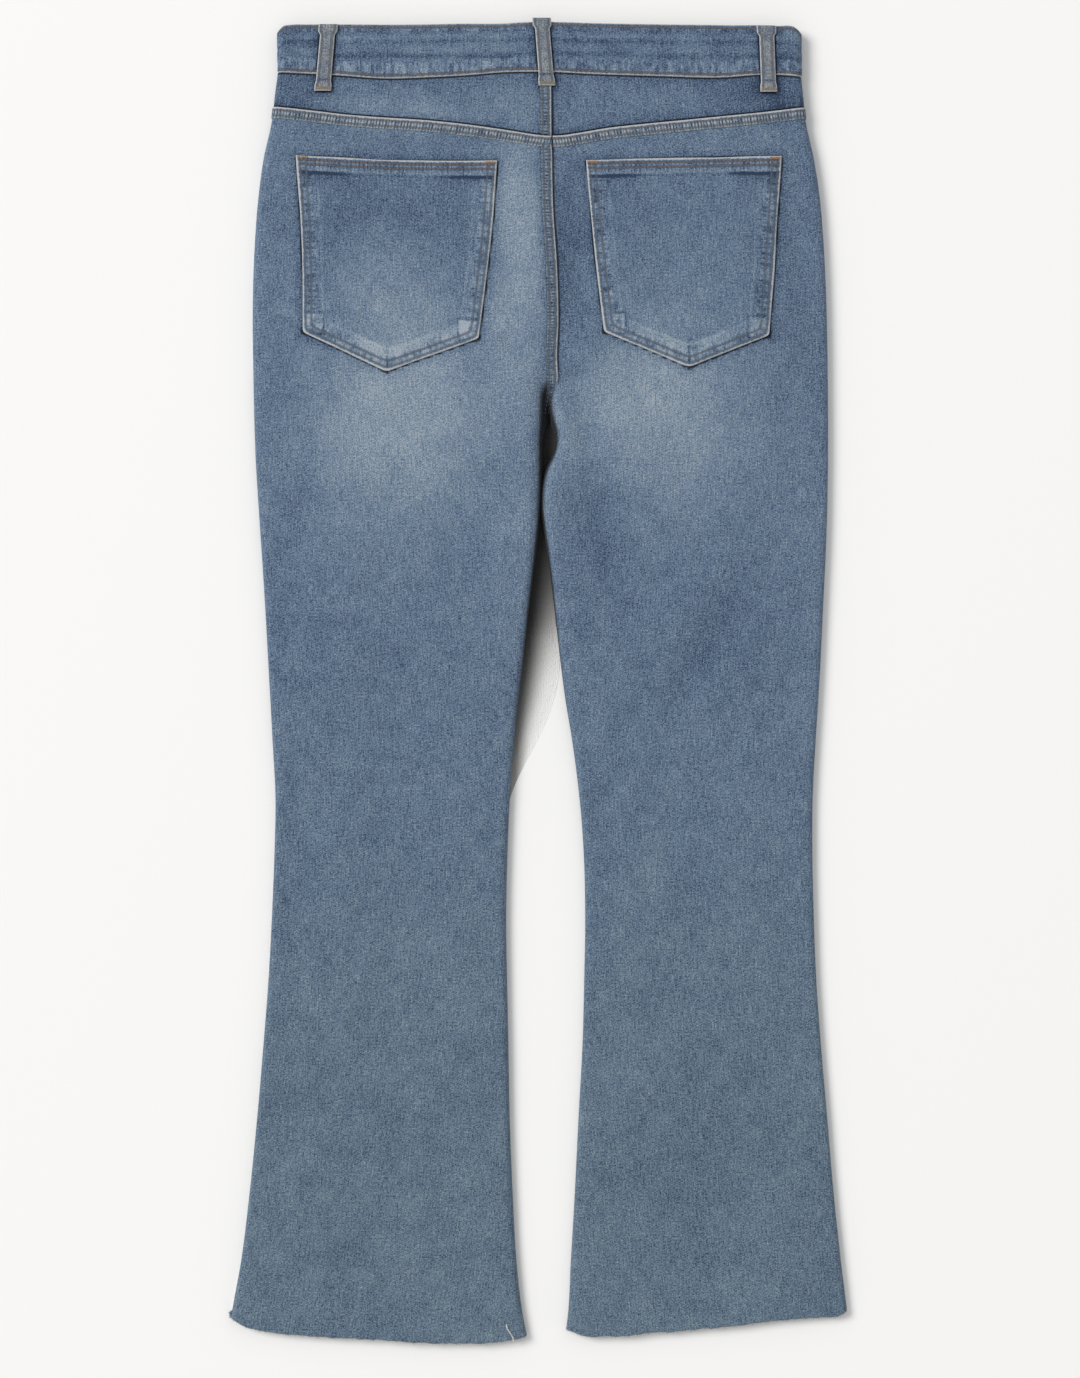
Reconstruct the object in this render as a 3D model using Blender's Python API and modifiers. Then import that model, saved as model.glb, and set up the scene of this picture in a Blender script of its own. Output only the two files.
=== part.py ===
"""Bootcut jeans laid flat on a level surface, back side up.

Metres, +Z up, +Y towards the waist, origin under the middle of the garment's box.
The wearer's left is at -X. The front lies on the surface, and the back is a shell over it,
so that each leg, the seat and the waist are open tubes. All sizes below are millimetres.
"""
import math
from collections import namedtuple

import bmesh
import bpy
import numpy as np

MM = 0.001

# Cloth
DENIM = 1.4             # wall of every panel
GAP = 0.3               # between pieces at a seam, and under what lies on a panel
SEAM_LAP = 0.9          # height of a felled seam over the panel beside it
SEAM_WIDTH = 8.6        # width of a felled seam
SEAM_BLEND = 1.3        # run of the step at its edge

# Whole garment
LENGTH = 1060.4         # top of the centre belt loop to the lowest point of a hem
TOP_Y = LENGTH / 2
FRONT_INSET = 1.3       # the front's edge inside the fold that the back makes round it
FRONT_HEM_INSET = 0.8   # and its hem inside the back's
FRONT_CENTRE = 5.0      # x of the fly line
LIFT = 2.6              # the front stands off the surface here, on its belt loops
LIFT_FROM, LIFT_TO = 60.0, 100.0    # down the front, where the lift fades out
YOKE_TOP_MEAN, YOKE_MEAN = 46.0, 82.0   # mean distance down to the yoke's upper and lower seams
YOKE_FADE, SEAM_FADE = 30.0, 34.0   # rows turn level again over these runs above and below a seam
HEM_MEAN, HEM_FADE = 1050.0, 90.0   # mean distance down to the hems, and the run up to level rows

# Waistband and fly
BAND_WALL = 2.6
BAND_FRONT = 2.2        # height of the band's outer face under the garment
BAND_TOP = 13.8         # height of its outer face on the back
BAND_OVERLAP = 8.0      # buttonhole end, past the fly line
BAND_UNDERLAP = 32.0    # button end, past the fly line
BAND_STEP = (22.0, 2.0) # from and to here past the buttonhole end, the button end steps up inside it
FRONT_DIP = 16.0        # the waist is cut this much lower at the centre front
FRONT_DIP_SPAN = 430.0  # width of that dip
FRONT_DIP_FADE = 150.0  # run below the side of the waist over which rows turn level again
BUTTON_RADIUS = 8.5
BUTTON_THICKNESS = 1.8
SHIELD_WIDTH, SHIELD_LENGTH = 42.0, 150.0
SHIELD_DROP = 2.0       # its upper end, below the waistband
SHIELD_TAPER = 0.35     # share of its width lost at the lower end
SCOOP_WIDTH, SCOOP_DEPTH = 82.0, 70.0   # opening of a front pocket
SCOOP_ANGLES = (0, 15, 30, 45, 58, 70, 80)      # degrees round its quarter ellipse
FRONT_COLUMNS = (0.0, 0.12, 0.28, 0.46, 0.64, 0.82, 1.0)

# Belt loops and back pockets
LOOP_WALL = 1.8
LOOP_STEP_FROM, LOOP_STEP_RUN = 0.6, 6.0    # where a loop steps down off the band, and over what run
LOOP_TOP_SLOPE = 0.5    # fall of its upper end for each millimetre past the waist
LOOP_SHARES = (0.0, 0.04, 0.1, 0.3, 0.55, 0.74, 0.84, 0.92, 1.0)
POCKET_WALL = 1.3
POCKET_HEM = 15.0       # double fold along a back pocket's mouth
POCKET_HEM_LAP = 0.6
POCKET_LENGTH = 150.0   # mouth to tip, beside the hem
POCKET_STEP = 0.01      # share of that length over which the hem's edge steps down
POCKET_HALF_COLUMNS = 6
POCKET_ROWS = 9         # below the hem

# Edges of the garment. `down` is the distance below the top of the centre belt loop.
Sides = namedtuple("Sides", "down left right")
SIDES = [
    Sides(0, -209.5, 209.5), Sides(46, -209.8, 209.4), Sides(59, -211.6, 210.8),
    Sides(81, -214.2, 213.0), Sides(113, -221.2, 220.0), Sides(145, -225.4, 224.8),
    Sides(177, -227.9, 227.4), Sides(225, -229.7, 229.8), Sides(289, -229.2, 231.0),
    Sides(353, -227.4, 231.2), Sides(401, -224.4, 230.4), Sides(465, -220.2, 227.6),
    Sides(529, -216.6, 224.4), Sides(577, -214.0, 221.4), Sides(625, -211.6, 218.9),
    Sides(673, -212.6, 218.8), Sides(721, -214.6, 219.9), Sides(769, -217.2, 221.8),
    Sides(817, -220.9, 225.2), Sides(881, -226.4, 230.7), Sides(945, -232.9, 236.2),
    Sides(993, -238.9, 241.4), Sides(1038, -247.0, 247.0), Sides(1060, -250.0, 249.0)]

Inseams = namedtuple("Inseams", "down left right")
INSEAMS = [
    Inseams(0, -0.4, 11.0), Inseams(289, -0.2, 12.4), Inseams(315, 1.2, 10.2),
    Inseams(334, 1.2, 13.8), Inseams(348, 1.2, 11.6), Inseams(362, 1.1, 5.4),
    Inseams(374, 0.9, 2.9), Inseams(392, 0.0, 2.2), Inseams(406, -0.9, 3.8),
    Inseams(438, -4.6, 8.4), Inseams(476, -9.4, 12.9), Inseams(513, -13.6, 17.2),
    Inseams(544, -17.4, 21.2), Inseams(577, -20.8, 26.6), Inseams(609, -23.4, 30.9),
    Inseams(641, -25.2, 34.2), Inseams(673, -26.4, 36.2), Inseams(721, -27.3, 37.2),
    Inseams(769, -26.6, 36.4), Inseams(817, -25.6, 35.2), Inseams(881, -24.4, 31.8),
    Inseams(945, -21.9, 28.6), Inseams(993, -19.2, 25.8), Inseams(1041, -13.6, 23.2),
    Inseams(1060, -9.6, 20.4)]

# Height of the back's outer face over the surface: at the side, mid-panel and at the inner edge
Loft = namedtuple("Loft", "down side middle crest")
LOFT = [
    Loft(0, 12.8, 12.8, 12.8), Loft(52, 12.8, 12.8, 12.8), Loft(85, 12.2, 13.2, 13.2),
    Loft(120, 11.2, 13.8, 14.0), Loft(200, 10.6, 14.2, 15.2), Loft(290, 10.2, 13.8, 17.0),
    Loft(345, 10.0, 13.0, 16.6), Loft(400, 9.8, 12.2, 14.2), Loft(470, 9.4, 11.4, 11.8),
    Loft(560, 9.0, 10.4, 10.0), Loft(660, 8.6, 9.6, 9.2), Loft(820, 8.4, 9.2, 8.8),
    Loft(960, 8.2, 9.0, 8.6), Loft(1060, 8.0, 8.8, 8.4)]

# The seat seam, as far as the crotch point: how deep it runs, how far the wearer's left leg
# dips beside it, and how much the two crests have rolled over towards it
SeatSeam = namedtuple("SeatSeam", "down x height dip roll")
SEAT_SEAM = [
    SeatSeam(40, 9.0, 12.8, 12.8, 0.0), SeatSeam(94, 9.3, 13.4, 13.4, 0.0),
    SeatSeam(150, 9.2, 14.4, 14.4, 0.0), SeatSeam(200, 11.0, 15.2, 15.2, 0.0),
    SeatSeam(245, 14.2, 16.0, 15.6, 0.0), SeatSeam(272, 13.4, 16.2, 14.8, 0.1),
    SeatSeam(288, 14.4, 15.6, 10.5, 0.55), SeatSeam(300, 13.6, 12.5, 6.0, 0.85),
    SeatSeam(311, 10.8, 7.0, 4.0, 1.0), SeatSeam(320, 9.0, 3.4, 3.0, 1.0),
    SeatSeam(330, 8.0, 3.3, 2.6, 1.0)]
CROTCH_POINT = 322.0    # down to where the four panels meet
INSEAM_CLEAR = 342.0    # from here down the back's inner edge stands at its own crest
FRONT_SPLIT = (376.0, 406.0)    # down to where the fronts' edges leave the fly line
FRONT_PART = {"left": (468.0, 575.0), "right": (452.0, 520.0)}  # and where each turns to its own leg

# Seams across the back, as x and distance down
Line = namedtuple("Line", "x down")
WAIST_EDGE = [
    Line(-210, 11.5), Line(-206, 7.4), Line(-198, 5.6), Line(-186, 5.4), Line(-100, 5.5),
    Line(-60, 4.8), Line(-30, 4.7), Line(-12, 3.6), Line(14, 3.4), Line(45, 4.4),
    Line(100, 5.4), Line(150, 6.0), Line(190, 6.6), Line(205, 8.2), Line(210, 12.5)]
BAND_EDGE = [
    Line(-210, 43.6), Line(-165, 45.4), Line(-121, 47.4), Line(-89, 46.2), Line(-58, 43.8),
    Line(-29, 41.6), Line(2, 42.2), Line(48, 44.2), Line(95, 46.0), Line(143, 46.8),
    Line(185, 44.8), Line(210, 47.2)]
YOKE_SEAM = [
    Line(-213, 70.8), Line(-176, 72.6), Line(-137, 77.6), Line(-89, 81.0), Line(-58, 84.2),
    Line(-26, 90.0), Line(9, 94.2), Line(48, 87.4), Line(95, 81.0), Line(143, 77.0),
    Line(213, 70.4)]
HEM_LEFT = [
    Line(-248, 1039.4), Line(-237, 1046.4), Line(-217, 1051.0), Line(-188, 1054.2),
    Line(-150, 1056.4), Line(-112, 1058.6), Line(-72, 1060.4), Line(-32, 1059.4),
    Line(-20, 1057.4), Line(-10, 1054.4)]
HEM_RIGHT = [
    Line(20, 1049.6), Line(35, 1053.8), Line(61, 1054.4), Line(97, 1052.0), Line(128, 1049.2),
    Line(160, 1045.6), Line(192, 1042.0), Line(224, 1039.2), Line(244, 1036.4),
    Line(248, 1032.4)]

# Folds of the back: a soft ridge (height > 0) or trough along a line
Fold = namedtuple("Fold", "x1 down1 x2 down2 half_width height")
FOLDS = [
    Fold(27, 118, 31, 205, 13, -2.2), Fold(31, 200, 19, 262, 12, -1.8),
    Fold(20, 268, 40, 340, 13, -2.4), Fold(40, 330, 64, 480, 18, -1.6),
    Fold(-8, 120, -6, 270, 12, 1.0), Fold(-11, 292, -10, 420, 9, 0.9),
    Fold(-50, 330, -62, 430, 22, -1.2), Fold(168, 458, 112, 540, 16, -1.5),
    Fold(150, 430, 92, 505, 18, 0.9), Fold(-175, 360, -205, 440, 20, -0.9),
    Fold(-96, 262, -150, 352, 24, 0.8), Fold(-118, 520, -122, 760, 26, -0.7),
    Fold(120, 560, 128, 800, 26, -0.7), Fold(-76, 640, -60, 900, 22, 0.6),
    Fold(74, 660, 66, 900, 22, 0.6), Fold(-176, 860, -186, 1030, 22, 0.5),
    Fold(186, 860, 196, 1020, 22, 0.5), Fold(-190, 130, -206, 210, 14, -0.8),
    Fold(196, 130, 208, 220, 14, -0.8), Fold(24, 318, 30, 372, 8, 0.9)]

# Back pockets: corners in order round the pentagon
Pocket = namedtuple("Pocket", "side mouth_out mouth_in low_in tip low_out")
POCKETS = [
    Pocket("left", (-194.5, 109.2), (-33.6, 113.8), (-48.8, 254.8), (-122.2, 280.9),
           (-188.7, 249.0)),
    Pocket("right", (193.7, 110.4), (37.6, 113.8), (53.5, 249.0), (119.4, 277.7),
           (183.6, 252.8))]

# Belt loops: centre line and width from the upper to the lower end
Loop = namedtuple("Loop", "name x_top down_top x_low down_low width_top width_low")
BACK_LOOPS = [
    Loop("belt_loop_back_left", -168.6, 5.6, -173.2, 58.8, 12.4, 12.6),
    Loop("belt_loop_back_centre", 1.6, 0.3, 6.0, 54.6, 12.0, 12.4),
    Loop("belt_loop_back_right", 181.2, 6.8, 183.2, 59.6, 12.6, 12.4)]
FRONT_LOOPS = [
    Loop("belt_loop_front_left", -104.0, 15.0, -106.0, 70.0, 12.4, 12.6),
    Loop("belt_loop_front_right", 112.0, 15.0, 114.0, 70.0, 12.4, 12.6)]

# Stations of the panels' grids, in millimetres along the cloth from an edge, or down the back
FROM_SIDE = (0.0, 3.2, 6.6, 10.6, 16.0)
FROM_SEAT = (0.0, 4.4, SEAM_WIDTH, SEAM_WIDTH + SEAM_BLEND, 13.5, 18.0, 23.0, 29.0)
MID_COLUMNS = 10
BELOW_YOKE = (0.0, 4.4, SEAM_WIDTH, SEAM_WIDTH + SEAM_BLEND, 16.0)
BACK_ROWS = (114, 134, 156, 180, 204, 228, 250, 266, 278, 288, 296, 304, 312, 320, 327, 334,
             342, 352, 364, 378, 394, 414, 440, 470, 505, 545, 590, 640, 695, 755, 815, 875,
             930, 980, 1015, HEM_MEAN)
FRONT_ROWS = (150, 210, 270, 322, 334, 345, 356, 366, 376, 392, 406, 425, 460, 500, 540, 590,
              640, 700, 770, 840, 910, 970, 1015, HEM_MEAN)

DENIM_COLOUR = (0.155, 0.225, 0.300)
THREAD_COLOUR = (0.330, 0.330, 0.310)
BRASS_COLOUR = (0.420, 0.300, 0.170)


def curve(rows, key_column, value_column):
    """A smooth function of one column of a table that passes through another column."""
    keys = np.array([getattr(row, key_column) for row in rows], float)
    values = np.array([getattr(row, value_column) for row in rows], float)
    slopes = np.gradient(values, keys)

    def at(key):
        key = min(max(key, keys[0]), keys[-1])
        i = int(np.clip(np.searchsorted(keys, key) - 1, 0, len(keys) - 2))
        span = keys[i + 1] - keys[i]
        t = (key - keys[i]) / span
        return ((1 + 2 * t) * (1 - t) ** 2 * values[i] + t * (1 - t) ** 2 * span * slopes[i]
                + t * t * (3 - 2 * t) * values[i + 1] + t * t * (t - 1) * span * slopes[i + 1])
    return at


side_at = {side: curve(SIDES, "down", side) for side in ("left", "right")}
inseam_at = {side: curve(INSEAMS, "down", side) for side in ("left", "right")}
side_loft, middle_loft, crest_loft = (curve(LOFT, "down", column) for column in Loft._fields[1:])
seam_x, seam_height, seam_dip, seam_roll = (curve(SEAT_SEAM, "down", column)
                                            for column in SeatSeam._fields[1:])
waist_edge, band_edge, yoke_seam = (curve(line, "x", "down")
                                    for line in (WAIST_EDGE, BAND_EDGE, YOKE_SEAM))
hem_at = {"left": curve(HEM_LEFT, "x", "down"), "right": curve(HEM_RIGHT, "x", "down")}
OUTWARD = {"left": -1.0, "right": 1.0}


def ease(value, start, end):
    """0 before start, 1 after end, smooth between; start may be the larger."""
    t = min(max((value - start) / (end - start), 0.0), 1.0)
    return t * t * (3 - 2 * t)


def mix(a, b, t):
    return a + (b - a) * t


def mix_point(a, b, t):
    return tuple(mix(p, q, t) for p, q in zip(a, b))


def front_height(down):
    """Height of the front's outer face: on the surface, but lifted near the waist."""
    return LIFT * ease(down, LIFT_TO, LIFT_FROM)


def fold_height(x, down):
    """What the back's folds add to its height at a place."""
    total = 0.0
    for fold in FOLDS:
        run_x, run_down = fold.x2 - fold.x1, fold.down2 - fold.down1
        length = math.hypot(run_x, run_down)
        along = ((x - fold.x1) * run_x + (down - fold.down1) * run_down) / length
        across = ((x - fold.x1) * run_down - (down - fold.down1) * run_x) / length
        if abs(across) < 3 * fold.half_width:
            end_run = 0.35 * length
            fade = ease(along, -end_run, end_run) * ease(along, length + end_run,
                                                         length - end_run)
            total += fold.height * fade * math.exp(-(across / fold.half_width) ** 2)
    return total


def bezier(a, b, c, d, t):
    k = 1 - t
    return tuple(k ** 3 * p + 3 * k * k * t * q + 3 * k * t * t * r + t ** 3 * s
                 for p, q, r, s in zip(a, b, c, d))


def back_section(side, down, foot_down):
    """The back's outer face across one half at a height: (outward distance, height, on top).

    It runs from the side, where it stands on the front at foot_down, over the top, to the seat seam or,
    below the crotch, over the leg's inner crest and down to the front again.
    """
    out = OUTWARD[side]
    side_out = out * side_at[side](down)
    inner_out = out * inseam_at[side](down)
    foot = front_height(foot_down) + DENIM + GAP
    radius = (side_loft(down) - front_height(foot_down)) / 2
    centre = side_loft(down) - radius
    start = math.acos((centre - foot) / radius)
    points = []
    arc_steps, top_steps, roll_steps = 12, 60, 30
    for i in range(arc_steps):
        angle = mix(start, math.pi, i / arc_steps)
        points.append((side_out - radius + radius * math.sin(angle),
                       centre - radius * math.cos(angle), 0.0))
    crest = crest_loft(down)
    crest_radius = crest / 2
    top_out, crest_out = side_out - radius, inner_out + crest_radius
    for i in range(top_steps):
        t = i / top_steps
        height = mix(side_loft(down), middle_loft(down), ease(t, 0.0, 0.34))
        height += (crest - middle_loft(down)) * ease(t, 0.45, 1.0)
        points.append((mix(top_out, crest_out, t), height, ease(t, 0.0, 0.06)))
    free = ease(down, CROTCH_POINT, INSEAM_CLEAR)
    roll = max(seam_roll(down), free)
    seam_out = out * seam_x(down) + GAP / 2
    stand = math.sqrt(max(crest_radius ** 2 - (crest_radius - foot) ** 2, 0.0))
    end = (mix(seam_out, crest_out - stand, free),
           mix(seam_height(down), foot + 0.05, free ** 2))
    first, bulge = (crest_out, crest), crest_out - crest_radius * 4 / 3
    dip = seam_dip(down) if side == "left" else seam_height(down)
    rolled = ((bulge, crest), (bulge, mix(dip, 0.0, free)))
    flat = (mix_point(first, end, 1 / 3), mix_point(first, end, 2 / 3))
    second, third = (mix_point(p, q, roll) for p, q in zip(flat, rolled))
    for i in range(roll_steps + 1):
        t = i / roll_steps
        place = bezier(first, second, third, end, t)
        points.append((place[0], place[1], 1 - ease(t * roll, 0.0, 0.4)))
    return points


def place_on_section(points, distances_from_side, distances_from_seat, middle):
    """Sample a section at distances along the cloth from both of its ends."""
    plan = np.array(points)
    steps = np.hypot(np.diff(plan[:, 0]), np.diff(plan[:, 1]))
    along = np.concatenate([[0.0], np.cumsum(steps)])
    first, last = distances_from_side[-1], along[-1] - distances_from_seat[-1]
    stations = list(distances_from_side[:-1])
    stations += [mix(first, last, i / (middle - 1)) for i in range(middle)]
    stations += [along[-1] - d for d in reversed(distances_from_seat[:-1])]
    return [tuple(np.interp(s, along, plan[:, k]) for k in range(3)) + (along[-1] - s,)
            for s in stations]


def seam_shift(side, x, down, top_line, top_mean, fade_run):
    """How far a row bends down from level to follow the seam above and the hem below."""
    shift = (top_line(x) - top_mean) * ease(down, top_mean + fade_run, top_mean)
    return shift + (hem_at[side](x) - HEM_MEAN) * ease(down, HEM_MEAN - HEM_FADE, HEM_MEAN)


def back_surface(side, down, top_line, top_mean, fade_run, seat_lap, yoke_lap):
    """One row of the back's outer face, as (x, y, z) points from the side to the seat seam."""
    out = OUTWARD[side]
    edge_x, inner_x = side_at[side](down), inseam_at[side](down)
    edge_down = down + seam_shift(side, edge_x, down, top_line, top_mean, fade_run)
    inner_down = down + seam_shift(side, inner_x, down, top_line, top_mean, fade_run)
    edge_move = out * (side_at[side](edge_down) - edge_x)
    inner_move = out * (inseam_at[side](inner_down) - inner_x)
    section = place_on_section(back_section(side, down, edge_down), FROM_SIDE, FROM_SEAT, MID_COLUMNS)
    widest = max(p[0] for p in section)
    row = []
    for outward, height, on_top, from_seat in section:
        share = min(max(outward / widest, 0.0), 1.0)
        outward += mix(inner_move, edge_move, share)
        x = out * outward
        here = down + seam_shift(side, x, down, top_line, top_mean, fade_run)
        height += fold_height(x, here) * on_top
        lap = seat_lap * ease(from_seat, SEAM_WIDTH + SEAM_BLEND, SEAM_WIDTH) * on_top
        height += max(lap, yoke_lap * on_top)
        row.append((x, TOP_Y - here, height))
    return row


def back_leg_rows(side):
    """The back of one leg and half of the seat, from the yoke seam to the hem."""
    lap = SEAM_LAP if side == "left" else 0.0
    rows = []
    for below in BELOW_YOKE:
        yoke_lap = SEAM_LAP * ease(below, SEAM_WIDTH + SEAM_BLEND, SEAM_WIDTH)
        down = YOKE_MEAN + GAP / 2 + below
        rows.append(back_surface(side, down, yoke_seam, YOKE_MEAN, SEAM_FADE, lap, yoke_lap))
    for down in BACK_ROWS:
        rows.append(back_surface(side, down, yoke_seam, YOKE_MEAN, SEAM_FADE, lap, 0.0))
    return rows


def between_seams(share):
    """The line across the yoke a share of the way from the waistband down to the yoke seam."""
    return lambda x: mix(band_edge(x) + GAP, yoke_seam(x) - GAP / 2, share)


def yoke_rows(side):
    """Half of the yoke, from the waistband down to the yoke seam."""
    steps = 4
    lap = SEAM_LAP if side == "left" else 0.0
    rows = []
    for i in range(steps + 1):
        down = mix(YOKE_TOP_MEAN, YOKE_MEAN, i / steps)
        rows.append(back_surface(side, down, between_seams(i / steps), down, YOKE_FADE, lap, 0.0))
    return rows


def surface_height(x, down):
    """Height of the back's outer face between its side folds and the seat seam."""
    side = "left" if x < seam_x(down) else "right"
    level = down - seam_shift(side, x, down, yoke_seam, YOKE_MEAN, SEAM_FADE)
    section = np.array(back_section(side, level, down))
    out = OUTWARD[side]
    height = np.interp(-out * x, -section[:, 0], section[:, 1])
    return height + fold_height(x, down)


def front_waist(x):
    """The waistband's lower edge on the front, which is cut lower at the centre."""
    share = min(abs(x - FRONT_CENTRE) / FRONT_DIP_SPAN, 0.5)
    return band_edge(x) + FRONT_DIP * math.cos(math.pi * share) ** 2


def front_inner_edge(side, down):
    """The front's edge at the fly, then between the legs, and lower down beside its own inseam."""
    out = OUTWARD[side]
    centre = FRONT_CENTRE + 1.0 * ease(down, 250, 330) - 5.2 * ease(down, 345, 380)
    between = (inseam_at["left"](down) + inseam_at["right"](down)) / 2
    beside = mix(centre, between, ease(down, *FRONT_SPLIT)) + out * GAP / 2
    own = inseam_at[side](down) + out * FRONT_INSET
    return mix(beside, own, ease(down, *FRONT_PART[side]))


def front_rows(side):
    """One front, cut away for the pocket mouth, from the waistband to the hem."""
    out = OUTWARD[side]
    rows = []
    top_side = front_waist(side_at[side](60))
    for degrees in SCOOP_ANGLES:
        angle = math.radians(degrees)
        down = top_side + SCOOP_DEPTH * math.sin(angle)
        outer = side_at[side](down) - out * (FRONT_INSET + SCOOP_WIDTH * math.cos(angle))
        rows.append(front_row(side, down, outer, FRONT_COLUMNS, top_side))
    for down in (top_side + SCOOP_DEPTH,) + FRONT_ROWS:
        outer = side_at[side](down) - out * FRONT_INSET
        rows.append(front_row(side, down, outer, FRONT_COLUMNS, top_side))
    return rows


def front_dip(x, down, top_side):
    """How far a row of the front bends down towards the centre of the waist."""
    return (front_waist(x) + 2 * GAP - top_side) * ease(down, top_side + FRONT_DIP_FADE, top_side)


def front_row(side, down, outer, columns, top_side):
    inner = front_inner_edge(side, down)
    row = []
    for share in columns:
        x = mix(outer, inner, share)
        hem = hem_at[side](x) - HEM_MEAN - FRONT_HEM_INSET
        here = down + front_dip(x, down, top_side) + hem * ease(down, HEM_MEAN - HEM_FADE, HEM_MEAN)
        row.append((x, TOP_Y - here, front_height(here) + DENIM))
    return row


def facing_rows(side):
    """The hip piece behind a front pocket's mouth, as far as the mouth shows it."""
    out = OUTWARD[side]
    top_side = front_waist(side_at[side](60))
    rows = []
    for degrees in SCOOP_ANGLES:
        angle = math.radians(degrees)
        down = top_side + (SCOOP_DEPTH - 2 * GAP) * math.sin(angle)
        edge = side_at[side](down) - out * FRONT_INSET
        mouth = edge - out * (SCOOP_WIDTH - 2 * GAP) * math.cos(angle)
        row = []
        for share in (0.0, 0.5, 1.0):
            x = mix(edge, mouth, share)
            here = down + front_dip(x, down, top_side)
            row.append((x, TOP_Y - here, front_height(here) + DENIM))
        rows.append(row)
    return rows


def fly_shield_rows():
    """The strip behind the closed fly, over the fronts' inner faces."""
    rows = []
    steps = 8
    top = front_waist(FRONT_CENTRE) + SHIELD_DROP
    for i in range(steps + 1):
        t = i / steps
        down = top + SHIELD_LENGTH * t
        half = SHIELD_WIDTH / 2 * (1 - SHIELD_TAPER * t ** 6)
        rows.append([(FRONT_CENTRE + half * share, TOP_Y - down,
                      front_height(down) + 2 * DENIM + GAP) for share in (-1.0, 0.0, 1.0)])
    return rows


def waistband_rows():
    """The waistband's outer face, from the buttonhole end round the back to the button end."""
    radius = (BAND_TOP - BAND_FRONT) / 2
    centre = BAND_TOP - radius
    left, right = side_at["left"](20), side_at["right"](20)
    step_up = BAND_WALL + GAP
    lap_end = FRONT_CENTRE + BAND_OVERLAP
    path = [(mix(lap_end, left + radius, t), BAND_FRONT, 1.0) for t in np.linspace(0, 1, 9)[:-1]]
    arc = np.linspace(0, math.pi, 8)
    path += [(left + radius - radius * math.sin(a), centre - radius * math.cos(a),
              0.5 + 0.5 * math.cos(a)) for a in arc]
    path += [(mix(left + radius, right - radius, t), BAND_TOP, 0.0)
             for t in np.linspace(0, 1, 19)[1:-1]]
    path += [(right - radius + radius * math.sin(a), centre + radius * math.cos(a),
              0.5 - 0.5 * math.cos(a)) for a in arc]
    step_from, step_to = (lap_end + past for past in BAND_STEP)
    path += [(mix(right - radius, step_from, t), BAND_FRONT, 1.0) for t in np.linspace(0, 1, 8)[1:]]
    path += [(mix(step_from, step_to, t), BAND_FRONT + step_up * ease(t, 0, 1), 1.0)
             for t in (0.3, 0.5, 0.7, 1.0)]
    path += [(mix(step_to, FRONT_CENTRE - BAND_UNDERLAP, t), BAND_FRONT + step_up, 1.0)
             for t in (0.5, 1.0)]
    rows = []
    steps = 4
    for i in range(steps + 1):
        t = i / steps
        row = []
        for x, height, under in path:
            dip = (front_waist(x) - band_edge(x)) * under
            down = mix(waist_edge(x), band_edge(x), t) + dip
            row.append((x, TOP_Y - down, height))
        rows.append(row)
    return rows


def loop_rows(loop, base, low_base):
    """A belt loop over the band, its lower end stepping down to the panel below the band."""
    rows = []
    for t in LOOP_SHARES:
        x, down = mix(loop.x_top, loop.x_low, t), mix(loop.down_top, loop.down_low, t)
        edge = band_edge(x) + LOOP_STEP_FROM
        height = mix(base, low_base, ease(down, edge, edge + LOOP_STEP_RUN))
        height -= LOOP_TOP_SLOPE * max(waist_edge(x) - 1.0 - down, 0.0)
        half = mix(loop.width_top, loop.width_low, t) / 2
        rows.append([(x + half * share, TOP_Y - down, height) for share in (-1.0, 0.0, 1.0)])
    return rows


def front_loop_rows(loop):
    """A belt loop under the front's band, flat on the surface."""
    rows = []
    for t in (0.0, 0.5, 1.0):
        x, down = mix(loop.x_top, loop.x_low, t), mix(loop.down_top, loop.down_low, t)
        half = mix(loop.width_top, loop.width_low, t) / 2
        rows.append([(x + half * share, TOP_Y - down, LOOP_WALL) for share in (-1.0, 1.0)])
    return rows


def pocket_rows(pocket):
    """A back pocket, made from the height of the panel under it and moved out."""
    tip_share = abs(pocket.tip[0] - pocket.low_out[0]) / abs(pocket.low_in[0] - pocket.low_out[0])
    half = POCKET_HALF_COLUMNS
    columns = [tip_share * i / half for i in range(half)]
    columns += [mix(tip_share, 1.0, i / half) for i in range(half + 1)]
    hem_share = POCKET_HEM / POCKET_LENGTH
    below_hem = hem_share + POCKET_STEP
    row_shares = [0.0, hem_share * 0.5, hem_share, below_hem]
    row_shares += [mix(below_hem, 1.0, (i + 1) / POCKET_ROWS) for i in range(POCKET_ROWS)]
    rows = []
    for v in row_shares:
        row = []
        for u in columns:
            mouth = mix_point(pocket.mouth_out, pocket.mouth_in, u)
            if u <= tip_share:
                low = mix_point(pocket.low_out, pocket.tip, u / tip_share)
            else:
                low = mix_point(pocket.tip, pocket.low_in, (u - tip_share) / (1 - tip_share))
            x, down = mix_point(mouth, low, v)
            lap = POCKET_HEM_LAP if v <= hem_share else 0.0
            row.append((x, TOP_Y - down, surface_height(x, down) + GAP + lap))
        rows.append(row)
    return rows


def denim_like(name, colour, roughness=0.95, metallic=0.0):
    material = bpy.data.materials.new(name)
    material.use_nodes = True
    shader = material.node_tree.nodes["Principled BSDF"]
    shader.inputs["Base Color"].default_value = (*colour, 1.0)
    shader.inputs["Roughness"].default_value = roughness
    shader.inputs["Metallic"].default_value = metallic
    return material


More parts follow.
